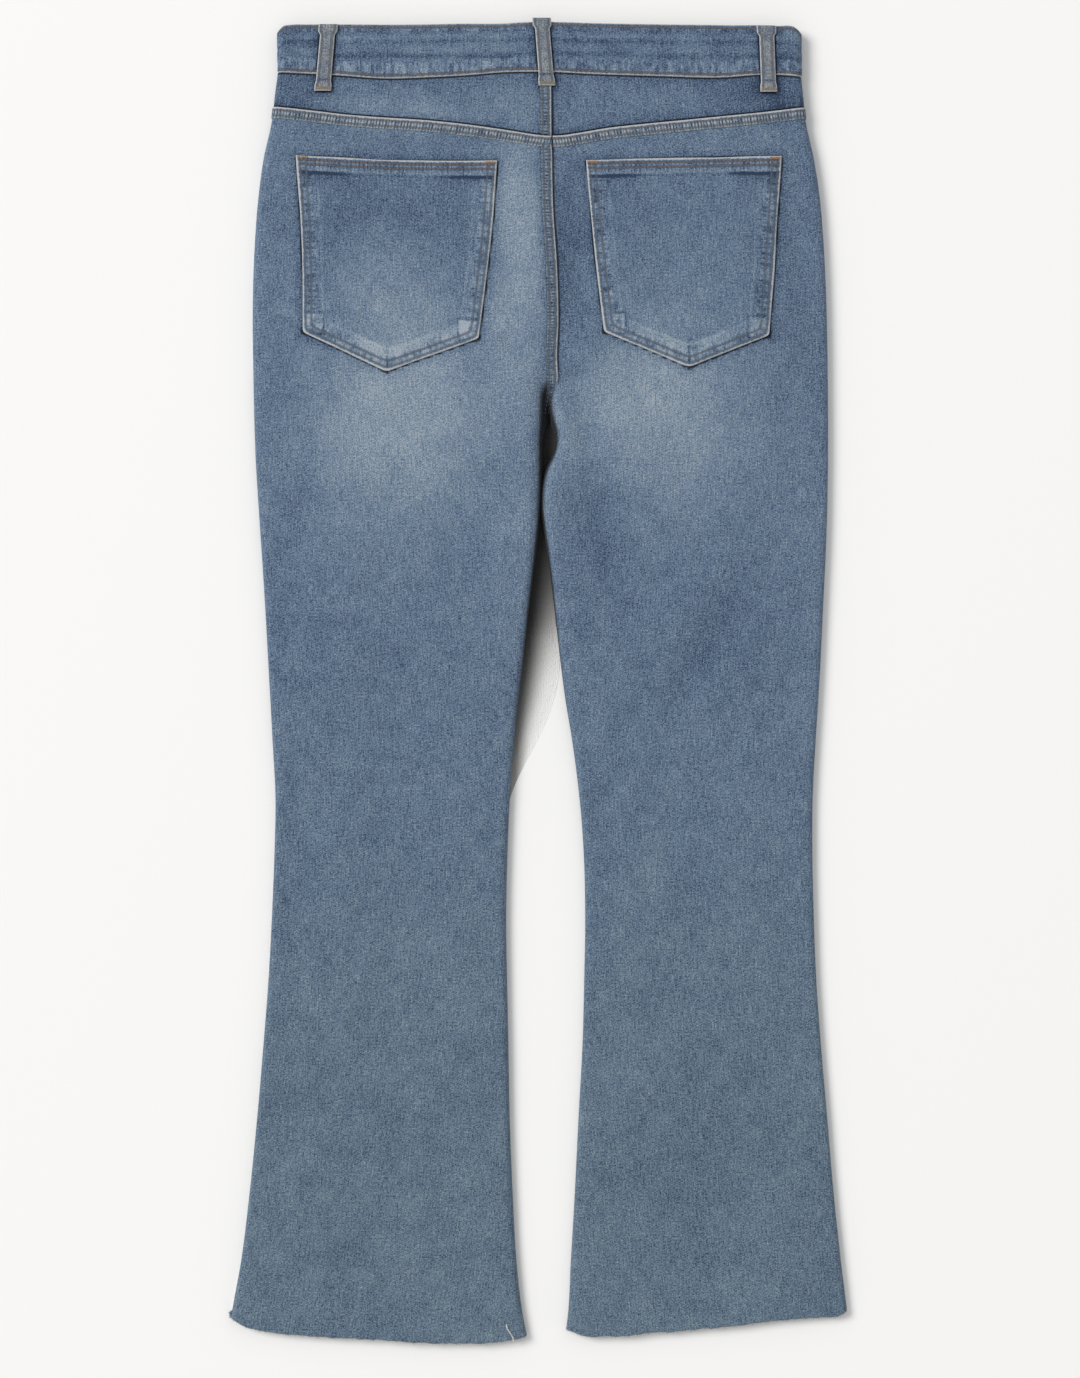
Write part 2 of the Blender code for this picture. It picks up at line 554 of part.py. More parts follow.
def cloth(name, rows, wall, material, collection, grow="in"):
    """A closed wall from a grid of points on the face of it that looks up.

    grow says whether the wall lies behind that face or in front of it.
    """
    columns = len(rows[0])
    bm = bmesh.new()
    bmesh.ops.create_grid(bm, x_segments=columns - 1, y_segments=len(rows) - 1, size=1.0)
    bm.verts.ensure_lookup_table()
    for j, row in enumerate(rows):
        for i, point in enumerate(row):
            bm.verts[j * columns + i].co = [value * MM for value in point]
    bm.normal_update()
    highest = max(bm.faces, key=lambda face: face.calc_center_median().z)
    if highest.normal.z < 0:
        bmesh.ops.reverse_faces(bm, faces=bm.faces)
    mesh = bpy.data.meshes.new(name)
    bm.to_mesh(mesh)
    bm.free()
    mesh.materials.append(material)
    mesh.shade_smooth()
    mesh.set_sharp_from_angle(angle=math.radians(40))
    piece = bpy.data.objects.new(name, mesh)
    collection.objects.link(piece)
    solidify = piece.modifiers.new("wall", "SOLIDIFY")
    solidify.thickness = wall * MM
    solidify.offset = -1.0 if grow == "in" else 1.0
    solidify.use_even_offset = False
    return piece


def waist_button(collection, material):
    """The flat head of the shank button, under the buttonhole end of the band."""
    x = FRONT_CENTRE
    down = mix(waist_edge(x), band_edge(x), 0.5) + FRONT_DIP
    bm = bmesh.new()
    bmesh.ops.create_cone(bm, cap_ends=True, segments=40, radius1=BUTTON_RADIUS * MM * 0.94,
                          radius2=BUTTON_RADIUS * MM, depth=BUTTON_THICKNESS * MM)
    bmesh.ops.translate(bm, verts=bm.verts,
                        vec=(x * MM, (TOP_Y - down) * MM, BUTTON_THICKNESS / 2 * MM))
    mesh = bpy.data.meshes.new("waist_button")
    bm.to_mesh(mesh)
    bm.free()
    mesh.materials.append(material)
    mesh.shade_smooth()
    mesh.set_sharp_from_angle(angle=math.radians(40))
    piece = bpy.data.objects.new("waist_button", mesh)
    collection.objects.link(piece)
    return piece


def build():
    for leftover in list(bpy.data.objects):
        bpy.data.objects.remove(leftover, do_unlink=True)
    jeans = bpy.data.collections.new("bootcut_jeans")
    bpy.context.scene.collection.children.link(jeans)
    denim = denim_like("denim", DENIM_COLOUR)
    thread = denim_like("loop_cloth", THREAD_COLOUR)
    brass = denim_like("brass", BRASS_COLOUR, roughness=0.4, metallic=1.0)
    for side in ("left", "right"):
        cloth("back_leg_" + side, back_leg_rows(side), DENIM, denim, jeans)
        cloth("yoke_" + side, yoke_rows(side), DENIM, denim, jeans)
        cloth("front_leg_" + side, front_rows(side), DENIM, denim, jeans)
        cloth("pocket_facing_" + side, facing_rows(side), DENIM - 0.35, denim, jeans)
    for pocket in POCKETS:
        cloth("back_pocket_" + pocket.side, pocket_rows(pocket), POCKET_WALL, denim, jeans,
              grow="out")
    cloth("fly_shield", fly_shield_rows(), DENIM, denim, jeans)
    cloth("waistband", waistband_rows(), BAND_WALL, denim, jeans)
    for loop in BACK_LOOPS:
        cloth(loop.name, loop_rows(loop, BAND_TOP + GAP, side_loft(46) + SEAM_LAP + GAP),
              LOOP_WALL, thread, jeans, grow="out")
    for loop in FRONT_LOOPS:
        cloth(loop.name, front_loop_rows(loop), LOOP_WALL, thread, jeans)
    waist_button(jeans, brass)


build()
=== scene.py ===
# Bootcut jeans laid flat, back side up: the cloth, thread and metal that a camera sees.
# Sizes in the dictionaries are millimetres; down is the distance below the top of the
# centre belt loop. The wearer's left is at -X, and the waist is at +Y.
import math
import random

import bmesh
import bpy
import numpy as np
from mathutils import Matrix, Vector


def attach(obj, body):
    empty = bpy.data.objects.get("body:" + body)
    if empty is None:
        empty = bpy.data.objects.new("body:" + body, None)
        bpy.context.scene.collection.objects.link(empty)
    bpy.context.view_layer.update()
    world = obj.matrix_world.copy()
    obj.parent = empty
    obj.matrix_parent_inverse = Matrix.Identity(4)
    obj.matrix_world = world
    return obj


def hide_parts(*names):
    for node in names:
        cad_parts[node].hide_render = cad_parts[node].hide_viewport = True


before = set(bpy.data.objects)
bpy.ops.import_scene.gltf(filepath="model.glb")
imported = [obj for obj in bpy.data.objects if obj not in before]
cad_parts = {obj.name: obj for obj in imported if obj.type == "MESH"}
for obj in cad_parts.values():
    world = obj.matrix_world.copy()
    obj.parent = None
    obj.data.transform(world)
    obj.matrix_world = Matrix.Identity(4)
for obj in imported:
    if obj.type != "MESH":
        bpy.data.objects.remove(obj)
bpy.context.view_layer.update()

mm = 0.001
outward = {"left": -1.0, "right": 1.0}

garment = {"length": 1060.4, "denim": 1.4, "gap": 0.3, "lift": 2.6, "liftFrom": 60.0, "liftTo": 100.0,
           "frontInset": 1.3, "frontCentre": 5.0, "frontDip": 16.0, "crotch": 322.0, "inseamClear": 342.0,
           "yokeMean": 82.0, "hemMean": 1050.0, "hemFade": 90.0, "seamFade": 34.0}
denimWall, gap, frontCentre = garment["denim"], garment["gap"], garment["frontCentre"]
yokeMean, hemMean, topY = garment["yokeMean"], garment["hemMean"], garment["length"] / 2

# the outline, the lie of the cloth and the seams, each a curve through these places
sides = {"down": [0, 46, 59, 81, 113, 145, 177, 225, 289, 353, 401, 465, 529, 577, 625, 673, 721, 769,
                  817, 881, 945, 993, 1038, 1060],
         "left": [-209.5, -209.8, -211.6, -214.2, -221.2, -225.4, -227.9, -229.7, -229.2, -227.4, -224.4,
                  -220.2, -216.6, -214.0, -211.6, -212.6, -214.6, -217.2, -220.9, -226.4, -232.9, -238.9,
                  -247.0, -250.0],
         "right": [209.5, 209.4, 210.8, 213.0, 220.0, 224.8, 227.4, 229.8, 231.0, 231.2, 230.4, 227.6,
                   224.4, 221.4, 218.9, 218.8, 219.9, 221.8, 225.2, 230.7, 236.2, 241.4, 247.0, 249.0]}
inseams = {"down": [0, 289, 315, 334, 348, 362, 374, 392, 406, 438, 476, 513, 544, 577, 609, 641, 673, 721,
                    769, 817, 881, 945, 993, 1041, 1060],
           "left": [-0.4, -0.2, 1.2, 1.2, 1.2, 1.1, 0.9, 0.0, -0.9, -4.6, -9.4, -13.6, -17.4, -20.8, -23.4,
                    -25.2, -26.4, -27.3, -26.6, -25.6, -24.4, -21.9, -19.2, -13.6, -9.6],
           "right": [11.0, 12.4, 10.2, 13.8, 11.6, 5.4, 2.9, 2.2, 3.8, 8.4, 12.9, 17.2, 21.2, 26.6, 30.9,
                     34.2, 36.2, 37.2, 36.4, 35.2, 31.8, 28.6, 25.8, 23.2, 20.4]}
loft = {"down": [0, 52, 85, 120, 200, 290, 345, 400, 470, 560, 660, 820, 960, 1060],
        "side": [12.8, 12.8, 12.2, 11.2, 10.6, 10.2, 10.0, 9.8, 9.4, 9.0, 8.6, 8.4, 8.2, 8.0],
        "middle": [12.8, 12.8, 13.2, 13.8, 14.2, 13.8, 13.0, 12.2, 11.4, 10.4, 9.6, 9.2, 9.0, 8.8],
        "crest": [12.8, 12.8, 13.2, 14.0, 15.2, 17.0, 16.6, 14.2, 11.8, 10.0, 9.2, 8.8, 8.6, 8.4]}
seatSeam = {"down": [40, 94, 150, 200, 245, 272, 288, 300, 311, 320, 330],
            "x": [9.4, 10.1, 11.0, 14.2, 15.2, 14.2, 14.9, 13.8, 10.8, 9.0, 8.0],
            "height": [12.8, 13.4, 14.4, 15.2, 16.0, 16.2, 15.6, 12.5, 7.0, 3.4, 3.3],
            "dip": [12.8, 13.4, 14.4, 15.2, 15.6, 14.8, 10.5, 6.0, 4.0, 3.0, 2.6],
            "roll": [0.0, 0.0, 0.0, 0.0, 0.0, 0.1, 0.55, 0.85, 1.0, 1.0, 1.0]}
waistEdge = {"x": [-210, -206, -198, -186, -100, -60, -30, -12, 14, 45, 100, 150, 190, 205, 210],
             "down": [11.5, 7.4, 5.6, 5.4, 5.5, 4.8, 4.7, 3.6, 3.4, 4.4, 5.4, 6.0, 6.6, 8.2, 12.5]}
bandEdge = {"x": [-210, -165, -121, -89, -58, -29, 2, 48, 95, 143, 185, 210],
            "down": [43.6, 46.0, 48.8, 47.8, 46.2, 43.8, 43.4, 45.4, 46.8, 48.0, 45.6, 47.2]}
yokeSeam = {"x": [-213, -203, -176, -156, -136, -88, -64, -40, -24, 5, 17, 28, 56, 80, 128, 176, 213],
            "down": [70.9, 71.9, 75.0, 77.4, 79.1, 82.3, 84.7, 87.9, 90.3, 94.3, 94.2, 92.7, 88.1, 85.5,
                     80.7, 75.9, 71.4]}
hems = {"left": {"x": [-248, -237, -217, -188, -150, -112, -72, -32, -20, -10],
                 "down": [1039.4, 1046.4, 1051.0, 1054.2, 1056.4, 1058.6, 1060.4, 1059.4, 1057.4, 1054.4]},
        "right": {"x": [20, 35, 61, 97, 128, 160, 192, 224, 244, 248],
                  "down": [1049.6, 1053.8, 1054.4, 1052.0, 1049.2, 1045.6, 1042.0, 1039.2, 1036.4, 1032.4]}}

# x1, down1, x2, down2, half width, height of a ridge (+) or trough (-): the main folds first
folds = [(27, 118, 31, 205, 13, -2.2), (31, 200, 19, 262, 12, -1.8), (20, 268, 40, 340, 13, -2.4),
         (40, 330, 64, 480, 18, -1.6), (-8, 120, -6, 270, 12, 1.0), (-11, 292, -10, 420, 9, 0.9),
         (-50, 330, -62, 430, 22, -1.2), (168, 458, 112, 540, 16, -1.5), (150, 430, 92, 505, 18, 0.9),
         (-175, 360, -205, 440, 20, -0.9), (-96, 262, -150, 352, 24, 0.8), (-118, 520, -122, 760, 26, -0.7),
         (120, 560, 128, 800, 26, -0.7), (-76, 640, -60, 900, 22, 0.6), (74, 660, 66, 900, 22, 0.6),
         (-176, 860, -186, 1030, 22, 0.5), (186, 860, 196, 1020, 22, 0.5), (-190, 130, -206, 210, 14, -0.8),
         (196, 130, 208, 220, 14, -0.8), (24, 318, 30, 372, 8, 0.9)]
# small creases that only the dressed cloth has, in the same columns
creases = [(-196, 300, -150, 322, 6, -0.35), (-205, 332, -160, 350, 7, -0.3), (205, 300, 160, 318, 6, -0.35),
           (214, 420, 176, 436, 7, -0.35), (-200, 470, -160, 486, 8, -0.3), (14, 352, 52, 338, 5, -0.45),
           (12, 372, 44, 364, 5, -0.3), (-14, 340, -50, 322, 6, -0.4), (-16, 370, -46, 352, 6, -0.3),
           (-180, 640, -120, 652, 9, -0.3), (-60, 650, -100, 668, 9, -0.3), (190, 640, 140, 655, 9, -0.3),
           (60, 655, 100, 672, 9, -0.3), (-150, 820, -110, 812, 10, -0.25), (170, 830, 120, 820, 10, -0.25),
           (-214, 96, -196, 118, 5, -0.4), (212, 96, 198, 118, 5, -0.4), (-60, 62, -30, 66, 5, 0.3),
           (36, 62, 60, 66, 5, 0.3)]
# the uneven lie of soft cloth: height, squeeze along the leg, cell and seed
unevenness = [(0.42, 0.6, 46, 3), (0.16, 0.7, 17, 5), (0.05, 1.0, 6, 8)]
noiseCells = 128


def curveThrough(table, key, value):
    keys, values = np.array(table[key], float), np.array(table[value], float)
    slopes = np.gradient(values, keys)

    def at(place):
        place = np.clip(np.asarray(place, float), keys[0], keys[-1])
        i = np.clip(np.searchsorted(keys, place) - 1, 0, len(keys) - 2)
        span = keys[i + 1] - keys[i]
        t = (place - keys[i]) / span
        return ((1 + 2 * t) * (1 - t) ** 2 * values[i] + t * (1 - t) ** 2 * span * slopes[i]
                + t * t * (3 - 2 * t) * values[i + 1] + t * t * (t - 1) * span * slopes[i + 1])
    return at


sideAt = {side: curveThrough(sides, "down", side) for side in outward}
inseamAt = {side: curveThrough(inseams, "down", side) for side in outward}
hemAt = {side: curveThrough(hems[side], "x", "down") for side in outward}
sideLoft, middleLoft, crestLoft = (curveThrough(loft, "down", part) for part in ("side", "middle", "crest"))
seamX, seamHeight, seamDip, seamRoll = (curveThrough(seatSeam, "down", part)
                                        for part in ("x", "height", "dip", "roll"))
waistAt, bandAt, yokeAt = (curveThrough(line, "x", "down") for line in (waistEdge, bandEdge, yokeSeam))


def ease(value, start, end):
    # 0 at the start, 1 at the end and smooth between
    t = np.clip((np.asarray(value, float) - start) / (end - start), 0.0, 1.0)
    return t * t * (3 - 2 * t)


def mix(a, b, t):
    return a + (b - a) * t


def bell(value, middle, width):
    # 1 on a line, fading beside it
    return np.exp(-((value - middle) / width) ** 2)


def unit(way):
    return way / np.linalg.norm(way)


def lengthAlong(path):
    return np.concatenate([[0.0], np.cumsum(np.linalg.norm(np.diff(path, axis=0), axis=1))])


def softNoise(x, y, cell, seed):
    # smooth random bumps between -1 and 1, one for each cell
    lattice = np.random.RandomState(seed).rand(noiseCells, noiseCells) * 2 - 1
    gx, gy = np.asarray(x, float) / cell + 1000.3, np.asarray(y, float) / cell + 1000.7
    ix, iy = np.floor(gx).astype(int), np.floor(gy).astype(int)
    fx, fy = ease(gx - ix, 0, 1), ease(gy - iy, 0, 1)
    a, b, c, d = (lattice[(ix + i) % noiseCells, (iy + j) % noiseCells] for j in (0, 1) for i in (0, 1))
    return mix(mix(a, b, fx), mix(c, d, fx), fy)


def lineNoise(along, cell, seed):
    return softNoise(along, 0 * along, cell, seed)


def foldHeight(x, down, table):
    x, down = np.asarray(x, float), np.asarray(down, float)
    total = np.zeros(np.broadcast(x, down).shape)
    for x1, down1, x2, down2, halfWidth, height in table:
        runX, runDown = x2 - x1, down2 - down1
        length = math.hypot(runX, runDown)
        along = ((x - x1) * runX + (down - down1) * runDown) / length
        across = ((x - x1) * runDown - (down - down1) * runX) / length
        end = 0.35 * length
        fade = ease(along, -end, end) * ease(along, length + end, length - end)
        total += height * fade * bell(across, 0, halfWidth)
    return total


def clothHeight(x, down):
    total = foldHeight(x, down, folds + creases)
    for height, squeeze, cell, seed in unevenness:
        total = total + height * softNoise(x, down * squeeze, cell, seed)
    return total


def frontHeight(down):
    # the front is lifted a little under the waistband
    return garment["lift"] * ease(down, garment["liftTo"], garment["liftFrom"])


# how many steps each stretch of a section has, and what part of the top its rises take
section = {"fold": 24, "top": 90, "roll": 48, "toMiddle": (0.0, 0.34), "toCrest": (0.45, 1.0)}


def backSection(side, down, footDown):
    # outer face across one half: columns are outward distance, height, how far it is on top
    out = outward[side]
    sideOut, innerOut = out * sideAt[side](down), out * inseamAt[side](down)
    foot = frontHeight(footDown) + denimWall + gap
    radius = (sideLoft(down) - frontHeight(footDown)) / 2
    centre = sideLoft(down) - radius
    angle = np.linspace(math.acos((centre - foot) / radius), math.pi, section["fold"] + 1)[:-1]
    fold = np.stack([sideOut - radius + radius * np.sin(angle), centre - radius * np.cos(angle),
                     0 * angle], 1)
    crest, crestRadius = crestLoft(down), crestLoft(down) / 2
    t = np.linspace(0, 1, section["top"] + 1)[:-1]
    height = mix(sideLoft(down), middleLoft(down), ease(t, *section["toMiddle"]))
    height = height + (crest - middleLoft(down)) * ease(t, *section["toCrest"])
    top = np.stack([mix(sideOut - radius, innerOut + crestRadius, t), height, ease(t, 0.0, 0.06)], 1)
    # over the inner edge and down to the seat seam, or right under the leg where it is free
    free = ease(down, garment["crotch"], garment["inseamClear"])
    roll = max(seamRoll(down), free)
    stand = math.sqrt(max(crestRadius ** 2 - (crestRadius - foot) ** 2, 0.0))
    end = np.array([mix(out * seamX(down) + gap / 2, innerOut + crestRadius - stand, free),
                    mix(seamHeight(down), foot + 0.05, free ** 2)])
    first = np.array([innerOut + crestRadius, crest])
    bulge = innerOut + crestRadius - crestRadius * 4 / 3
    dip = seamDip(down) if side == "left" else seamHeight(down)
    second = mix(mix(first, end, 1 / 3), np.array([bulge, crest]), roll)
    third = mix(mix(first, end, 2 / 3), np.array([bulge, mix(dip, 0.0, free)]), roll)
    t = np.linspace(0, 1, section["roll"] + 1)[:, None]
    over = first * (1 - t) ** 3 + 3 * second * t * (1 - t) ** 2 + 3 * third * t * t * (1 - t) + end * t ** 3
    return np.vstack([fold, top, np.hstack([over, 1 - ease(t * roll, 0.0, 0.4)])])


def seamShift(side, x, down, lay):
    # rows bend with the seam that they start from, and with the hem. A lay is the seam's line, its
    # mean distance down and how far its bend reaches
    line, mean, reach = lay
    bend = (line(x) - mean) * ease(down, mean + reach, mean)
    return bend + (hemAt[side](x) - hemMean) * ease(down, hemMean - garment["hemFade"], hemMean)


legLay = (yokeAt, yokeMean, garment["seamFade"])


def backRow(side, down, lay, stations):
    # stations(length) gives the places along the cloth, from the side to the seat seam
    out = outward[side]
    edgeX, innerX = sideAt[side](down), inseamAt[side](down)
    edgeDown = down + seamShift(side, edgeX, down, lay)
    innerDown = down + seamShift(side, innerX, down, lay)
    across = backSection(side, down, edgeDown)
    along = lengthAlong(across[:, :2])
    wanted = stations(along[-1])
    out0, height, onTop = (np.interp(wanted, along, across[:, k]) for k in range(3))
    share = np.clip(out0 / across[:, 0].max(), 0, 1)
    innerShift = out * (inseamAt[side](innerDown) - innerX)
    x = out * (out0 + mix(innerShift, out * (sideAt[side](edgeDown) - edgeX), share))
    here = down + seamShift(side, x, down, lay)
    return {"x": x, "down": here, "z": height + clothHeight(x, here) * onTop, "fromSide": wanted,
            "fromSeat": along[-1] - wanted}


def backGrid(side, lays, stations, downs=None):
    # a row for each lay, at its seam's mean where downs doesn't say otherwise
    downs = [lay[1] for lay in lays] if downs is None else downs
    rows = [backRow(side, down, lay, stations) for down, lay in zip(downs, lays)]
    return {key: np.array([row[key] for row in rows]) for key in rows[0]}


seamStations = (0.0, 0.7, 1.6, 2.6, 3.8, 5.2, 6.8, 8.6, 10.6, 13.0, 15.6, 18.6, 22.0, 26.0, 30.0)
sideStations = (0.0, 0.7, 1.5, 2.4, 3.4, 4.6, 6.0, 7.6, 9.5, 12.0)


def spread(far, middleStep):
    # closer steps at both ends and even ones between, as many in each row as in the first
    near, count = np.array(sideStations), 0

    def stations(length):
        nonlocal count
        outer = length - np.array(far)[::-1]
        count = count or max(int(round((outer[0] - near[-1]) / middleStep)), 2)
        return np.concatenate([near[:-1], np.linspace(near[-1], outer[0], count), outer[1:]])
    return stations


def readBack():
    # height of the back at any place between its side folds, read from its sections
    step = 2.0
    xs, downs = np.arange(-245.0, 246.0, 1.0), np.arange(40.0, 420.0, step)
    heights = np.zeros((len(downs), len(xs)))
    for i, down in enumerate(downs):
        for side, out in outward.items():
            across = backSection(side, down, down)
            mine = xs < seamX(down) if side == "left" else xs >= seamX(down)
            order = np.argsort(across[:, 0], kind="stable")
            heights[i, mine] = np.interp(out * xs[mine], across[order, 0], across[order, 1])

    def at(x, down):
        x, down = np.asarray(x, float), np.asarray(down, float)
        level = down
        for _ in range(6):
            level = down - seamShift("left", x, level, legLay)
        gx = np.clip(x - xs[0], 0, len(xs) - 1.001)
        gy = np.clip((level - downs[0]) / step, 0, len(downs) - 1.001)
        ix, iy = gx.astype(int), gy.astype(int)
        upper, lower = (mix(heights[row, ix], heights[row, ix + 1], gx - ix) for row in (iy, iy + 1))
        return mix(upper, lower, gy - iy) + clothHeight(x, down)
    return at


backAt = readBack()
print("shape of the back worked out")


def finishMesh(bm, name, material):
    mesh = bpy.data.meshes.new(name)
    bm.to_mesh(mesh)
    bm.free()
    mesh.materials.append(material)
    mesh.shade_smooth()
    return mesh


def placePiece(mesh):
    piece = bpy.data.objects.new(mesh.name, mesh)
    bpy.context.scene.collection.objects.link(piece)
    return piece


def dressPiece(piece, slot, *nodes):
    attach(piece, "root")
    if nodes:
        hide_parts(*nodes)


def sewCloth(name, size, face, wall, material, restsOn, *nodes, slot="denim", uv=None, masks=None,
             paint=None, wallShare=None):
    # a wall of cloth from a grid of places on its visible face, x, down and height; size, its flat
    # cut, is not used; masks are distances kept at the places, and paint is what the material adds there
    x, down, z = face
    rows, columns = x.shape
    bm = bmesh.new()
    bm.loops.layers.uv.new("cloth")
    bmesh.ops.create_grid(bm, x_segments=columns - 1, y_segments=rows - 1, size=1.0, calc_uvs=True)
    mesh = finishMesh(bm, name, material)
    mesh.vertices.foreach_set("co", (np.stack([x, topY - down, z], -1) * mm).ravel())
    mesh.update()
    if max(mesh.polygons, key=lambda polygon: polygon.center.z).normal.z < 0:
        mesh.flip_normals()
    corner = np.zeros(len(mesh.loops), int)
    mesh.loops.foreach_get("vertex_index", corner)
    flat = np.stack(uv or (x, down), -1).reshape(-1, 2) * mm
    mesh.uv_layers[0].data.foreach_set("uv", flat[corner].ravel())
    for group, scale in ((masks, mm), (paint, 1.0)):
        for key, values in (group or {}).items():
            kept = mesh.attributes.new(key, "FLOAT", "POINT")
            kept.data.foreach_set("value", np.broadcast_to(values, x.shape).astype(float).ravel() * scale)
    piece = placePiece(mesh)
    solid = piece.modifiers.new("wall", "SOLIDIFY")
    solid.thickness = wall * mm
    solid.offset = -1.0
    solid.use_even_offset = False
    if wallShare is not None:
        thinning = piece.vertex_groups.new(name="thinning")
        level = np.round(np.clip(wallShare, 0.05, 1.0).ravel() * 40).astype(int)
        for step in np.unique(level):
            thinning.add(np.flatnonzero(level == step).tolist(), step / 40, "REPLACE")
        solid.vertex_group = "thinning"
    dressPiece(piece, slot, *nodes)


class Nodes:
    # adds nodes to a shader tree; an input is a number, a colour or what another node puts out
    def __init__(self, tree):
        self.tree = tree

    def add(self, kind, inputs=None, **settings):
        made = self.tree.nodes.new(kind)
        for key, value in settings.items():
            setattr(made, key, value)
        for key, value in (inputs or {}).items():
            if isinstance(value, bpy.types.NodeSocket):
                self.tree.links.new(value, made.inputs[key])
            else:
                made.inputs[key].default_value = value
        return made

    def math(self, operation, a, b=0.0):
        return self.add("ShaderNodeMath", {0: a, 1: b}, operation=operation).outputs[0]

    def plus(self, first, *others):
        for other in others:
            first = self.math("ADD", first, other)
        return first

    def times(self, first, *others):
        for other in others:
            first = self.math("MULTIPLY", first, other)
        return first

    def range(self, value, fromMin, fromMax, toMin=0.0, toMax=1.0, steps="SMOOTHSTEP"):
        limits = {"From Min": fromMin, "From Max": fromMax, "To Min": toMin, "To Max": toMax}
        made = self.add("ShaderNodeMapRange", {"Value": value, **limits}, interpolation_type=steps)
        return made.outputs[0]

    def mixed(self, factor, a, b, blend="MIX"):
        made = self.add("ShaderNodeMix", {0: factor, 6: a, 7: b}, data_type="RGBA", blend_type=blend)
        return made.outputs[2]

    def noise(self, place, scale, detail, roughness=0.5):
        return self.add("ShaderNodeTexNoise", {"Vector": place, "Scale": scale, "Detail": detail,
                                               "Roughness": roughness}).outputs[0]

    def mask(self, name):
        return self.add("ShaderNodeAttribute", attribute_name=name).outputs["Fac"]

    def axisOf(self, output, axis):
        # one axis of a place or a direction on the piece
        place = self.add("ShaderNodeTexCoord").outputs[output]
        return self.add("ShaderNodeSeparateXYZ", {0: place}).outputs[axis]


def linear(red, green, blue):
    # a colour given as on a screen, 0 to 255
    parts = [value / 255 for value in (red, green, blue)]
    return (*(part / 12.92 if part <= 0.04045 else ((part + 0.055) / 1.055) ** 2.4 for part in parts), 1.0)


# some of these colours are painted shade: the step shadow, the groove and sunk colours and the near-black
# one; the near-white one lies under the painted shadow on the fronts' upper face
denimLook = {"deep": linear(45, 60, 85), "shade": linear(78, 97, 122), "body": linear(98, 118, 143),
             "worn": linear(125, 143, 161), "pale": linear(160, 172, 183), "edge": linear(187, 190, 192),
             "stepShadow": linear(15, 25, 41), "groove": linear(82, 80, 85), "sunk": linear(84, 93, 106),
             "raw": linear(150, 146, 138), "floorWhiteInside": linear(249, 249, 247), "paintedShade": linear(8, 9, 14),
             "lowLeg": (0.96, 0.965, 0.885, 1.0), "fellGrey": (1.05, 0.98, 0.90, 1.0),
             "loopGrey": (1.12, 0.935, 0.79, 1.0),
             "stops": ((0.0, "deep"), (0.2, "shade"), (0.42, "body"), (0.7, "worn"), (1.0, "pale")),
             "tone": 0.40, "grain": 0.62, "edgeWear": 0.9, "rowThreadAndShade": 0.72}

# scale across and down the cloth per metre, detail, and how strongly each shows
weave = {"layers": ((880.0, 740.0, 2.0, 0.66), (340.0, 290.0, 2.0, 0.15), (900.0, 80.0, 2.0, 0.27),
                    (120.0, 900.0, 2.0, 0.15), (60.0, 48.0, 3.0, 0.12)),
         "twillTurn": 63.0, "twillScale": 190.0, "twillReach": 0.10, "twillHeight": 0.25,
         "yarnHeight": 0.30, "slubHeight": 0.15}


def buildWeaveGroup():
    # twill, slubby yarns and the salt-and-pepper grain of washed denim, from the cloth's own map
    group = bpy.data.node_groups.new("washedWeave", "ShaderNodeTree")
    for name in ("Grain", "Height"):
        group.interface.new_socket(name, in_out="OUTPUT", socket_type="NodeSocketFloat")
    n = Nodes(group)
    cloth = n.add("ShaderNodeUVMap", uv_map="cloth").outputs["UV"]
    total, layers = 0.0, []
    for across, down, detail, reach in weave["layers"]:
        scaled = n.add("ShaderNodeMapping", {"Vector": cloth, "Scale": (across, down, 1.0)}).outputs[0]
        layers.append(n.range(n.noise(scaled, 1.0, detail, 0.6), 0.28, 0.72, -1.0, 1.0, "LINEAR"))
        total = n.plus(total, n.times(layers[-1], reach))
    turn = (0, 0, math.radians(weave["twillTurn"]))
    turned = n.add("ShaderNodeMapping", {"Vector": cloth, "Rotation": turn})
    twill = n.add("ShaderNodeTexWave", {"Vector": turned.outputs[0], "Scale": weave["twillScale"],
                                        "Distortion": 2.0, "Detail": 2.0, "Detail Scale": 2.5},
                  wave_type="BANDS", bands_direction="X").outputs["Fac"]
    reach = weave["twillReach"]
    n.add("NodeGroupOutput", {
        "Grain": n.plus(total, n.range(twill, 0.0, 1.0, -reach, reach, "LINEAR")),
        "Height": n.plus(n.times(twill, weave["twillHeight"]), n.times(layers[0], weave["yarnHeight"]),
                         n.times(layers[2], weave["slubHeight"]))})
    return group


# the seam group's inputs, in metres where they are sizes
seamInputs = {"Distance": 0.0, "Along": 0.0, "Edge Width": 0.0011, "Row A": 0.0024, "Row B": 0.0068,
              "Strip": 0.009, "Rib Scale": 640.0, "Ladder": 0.0}


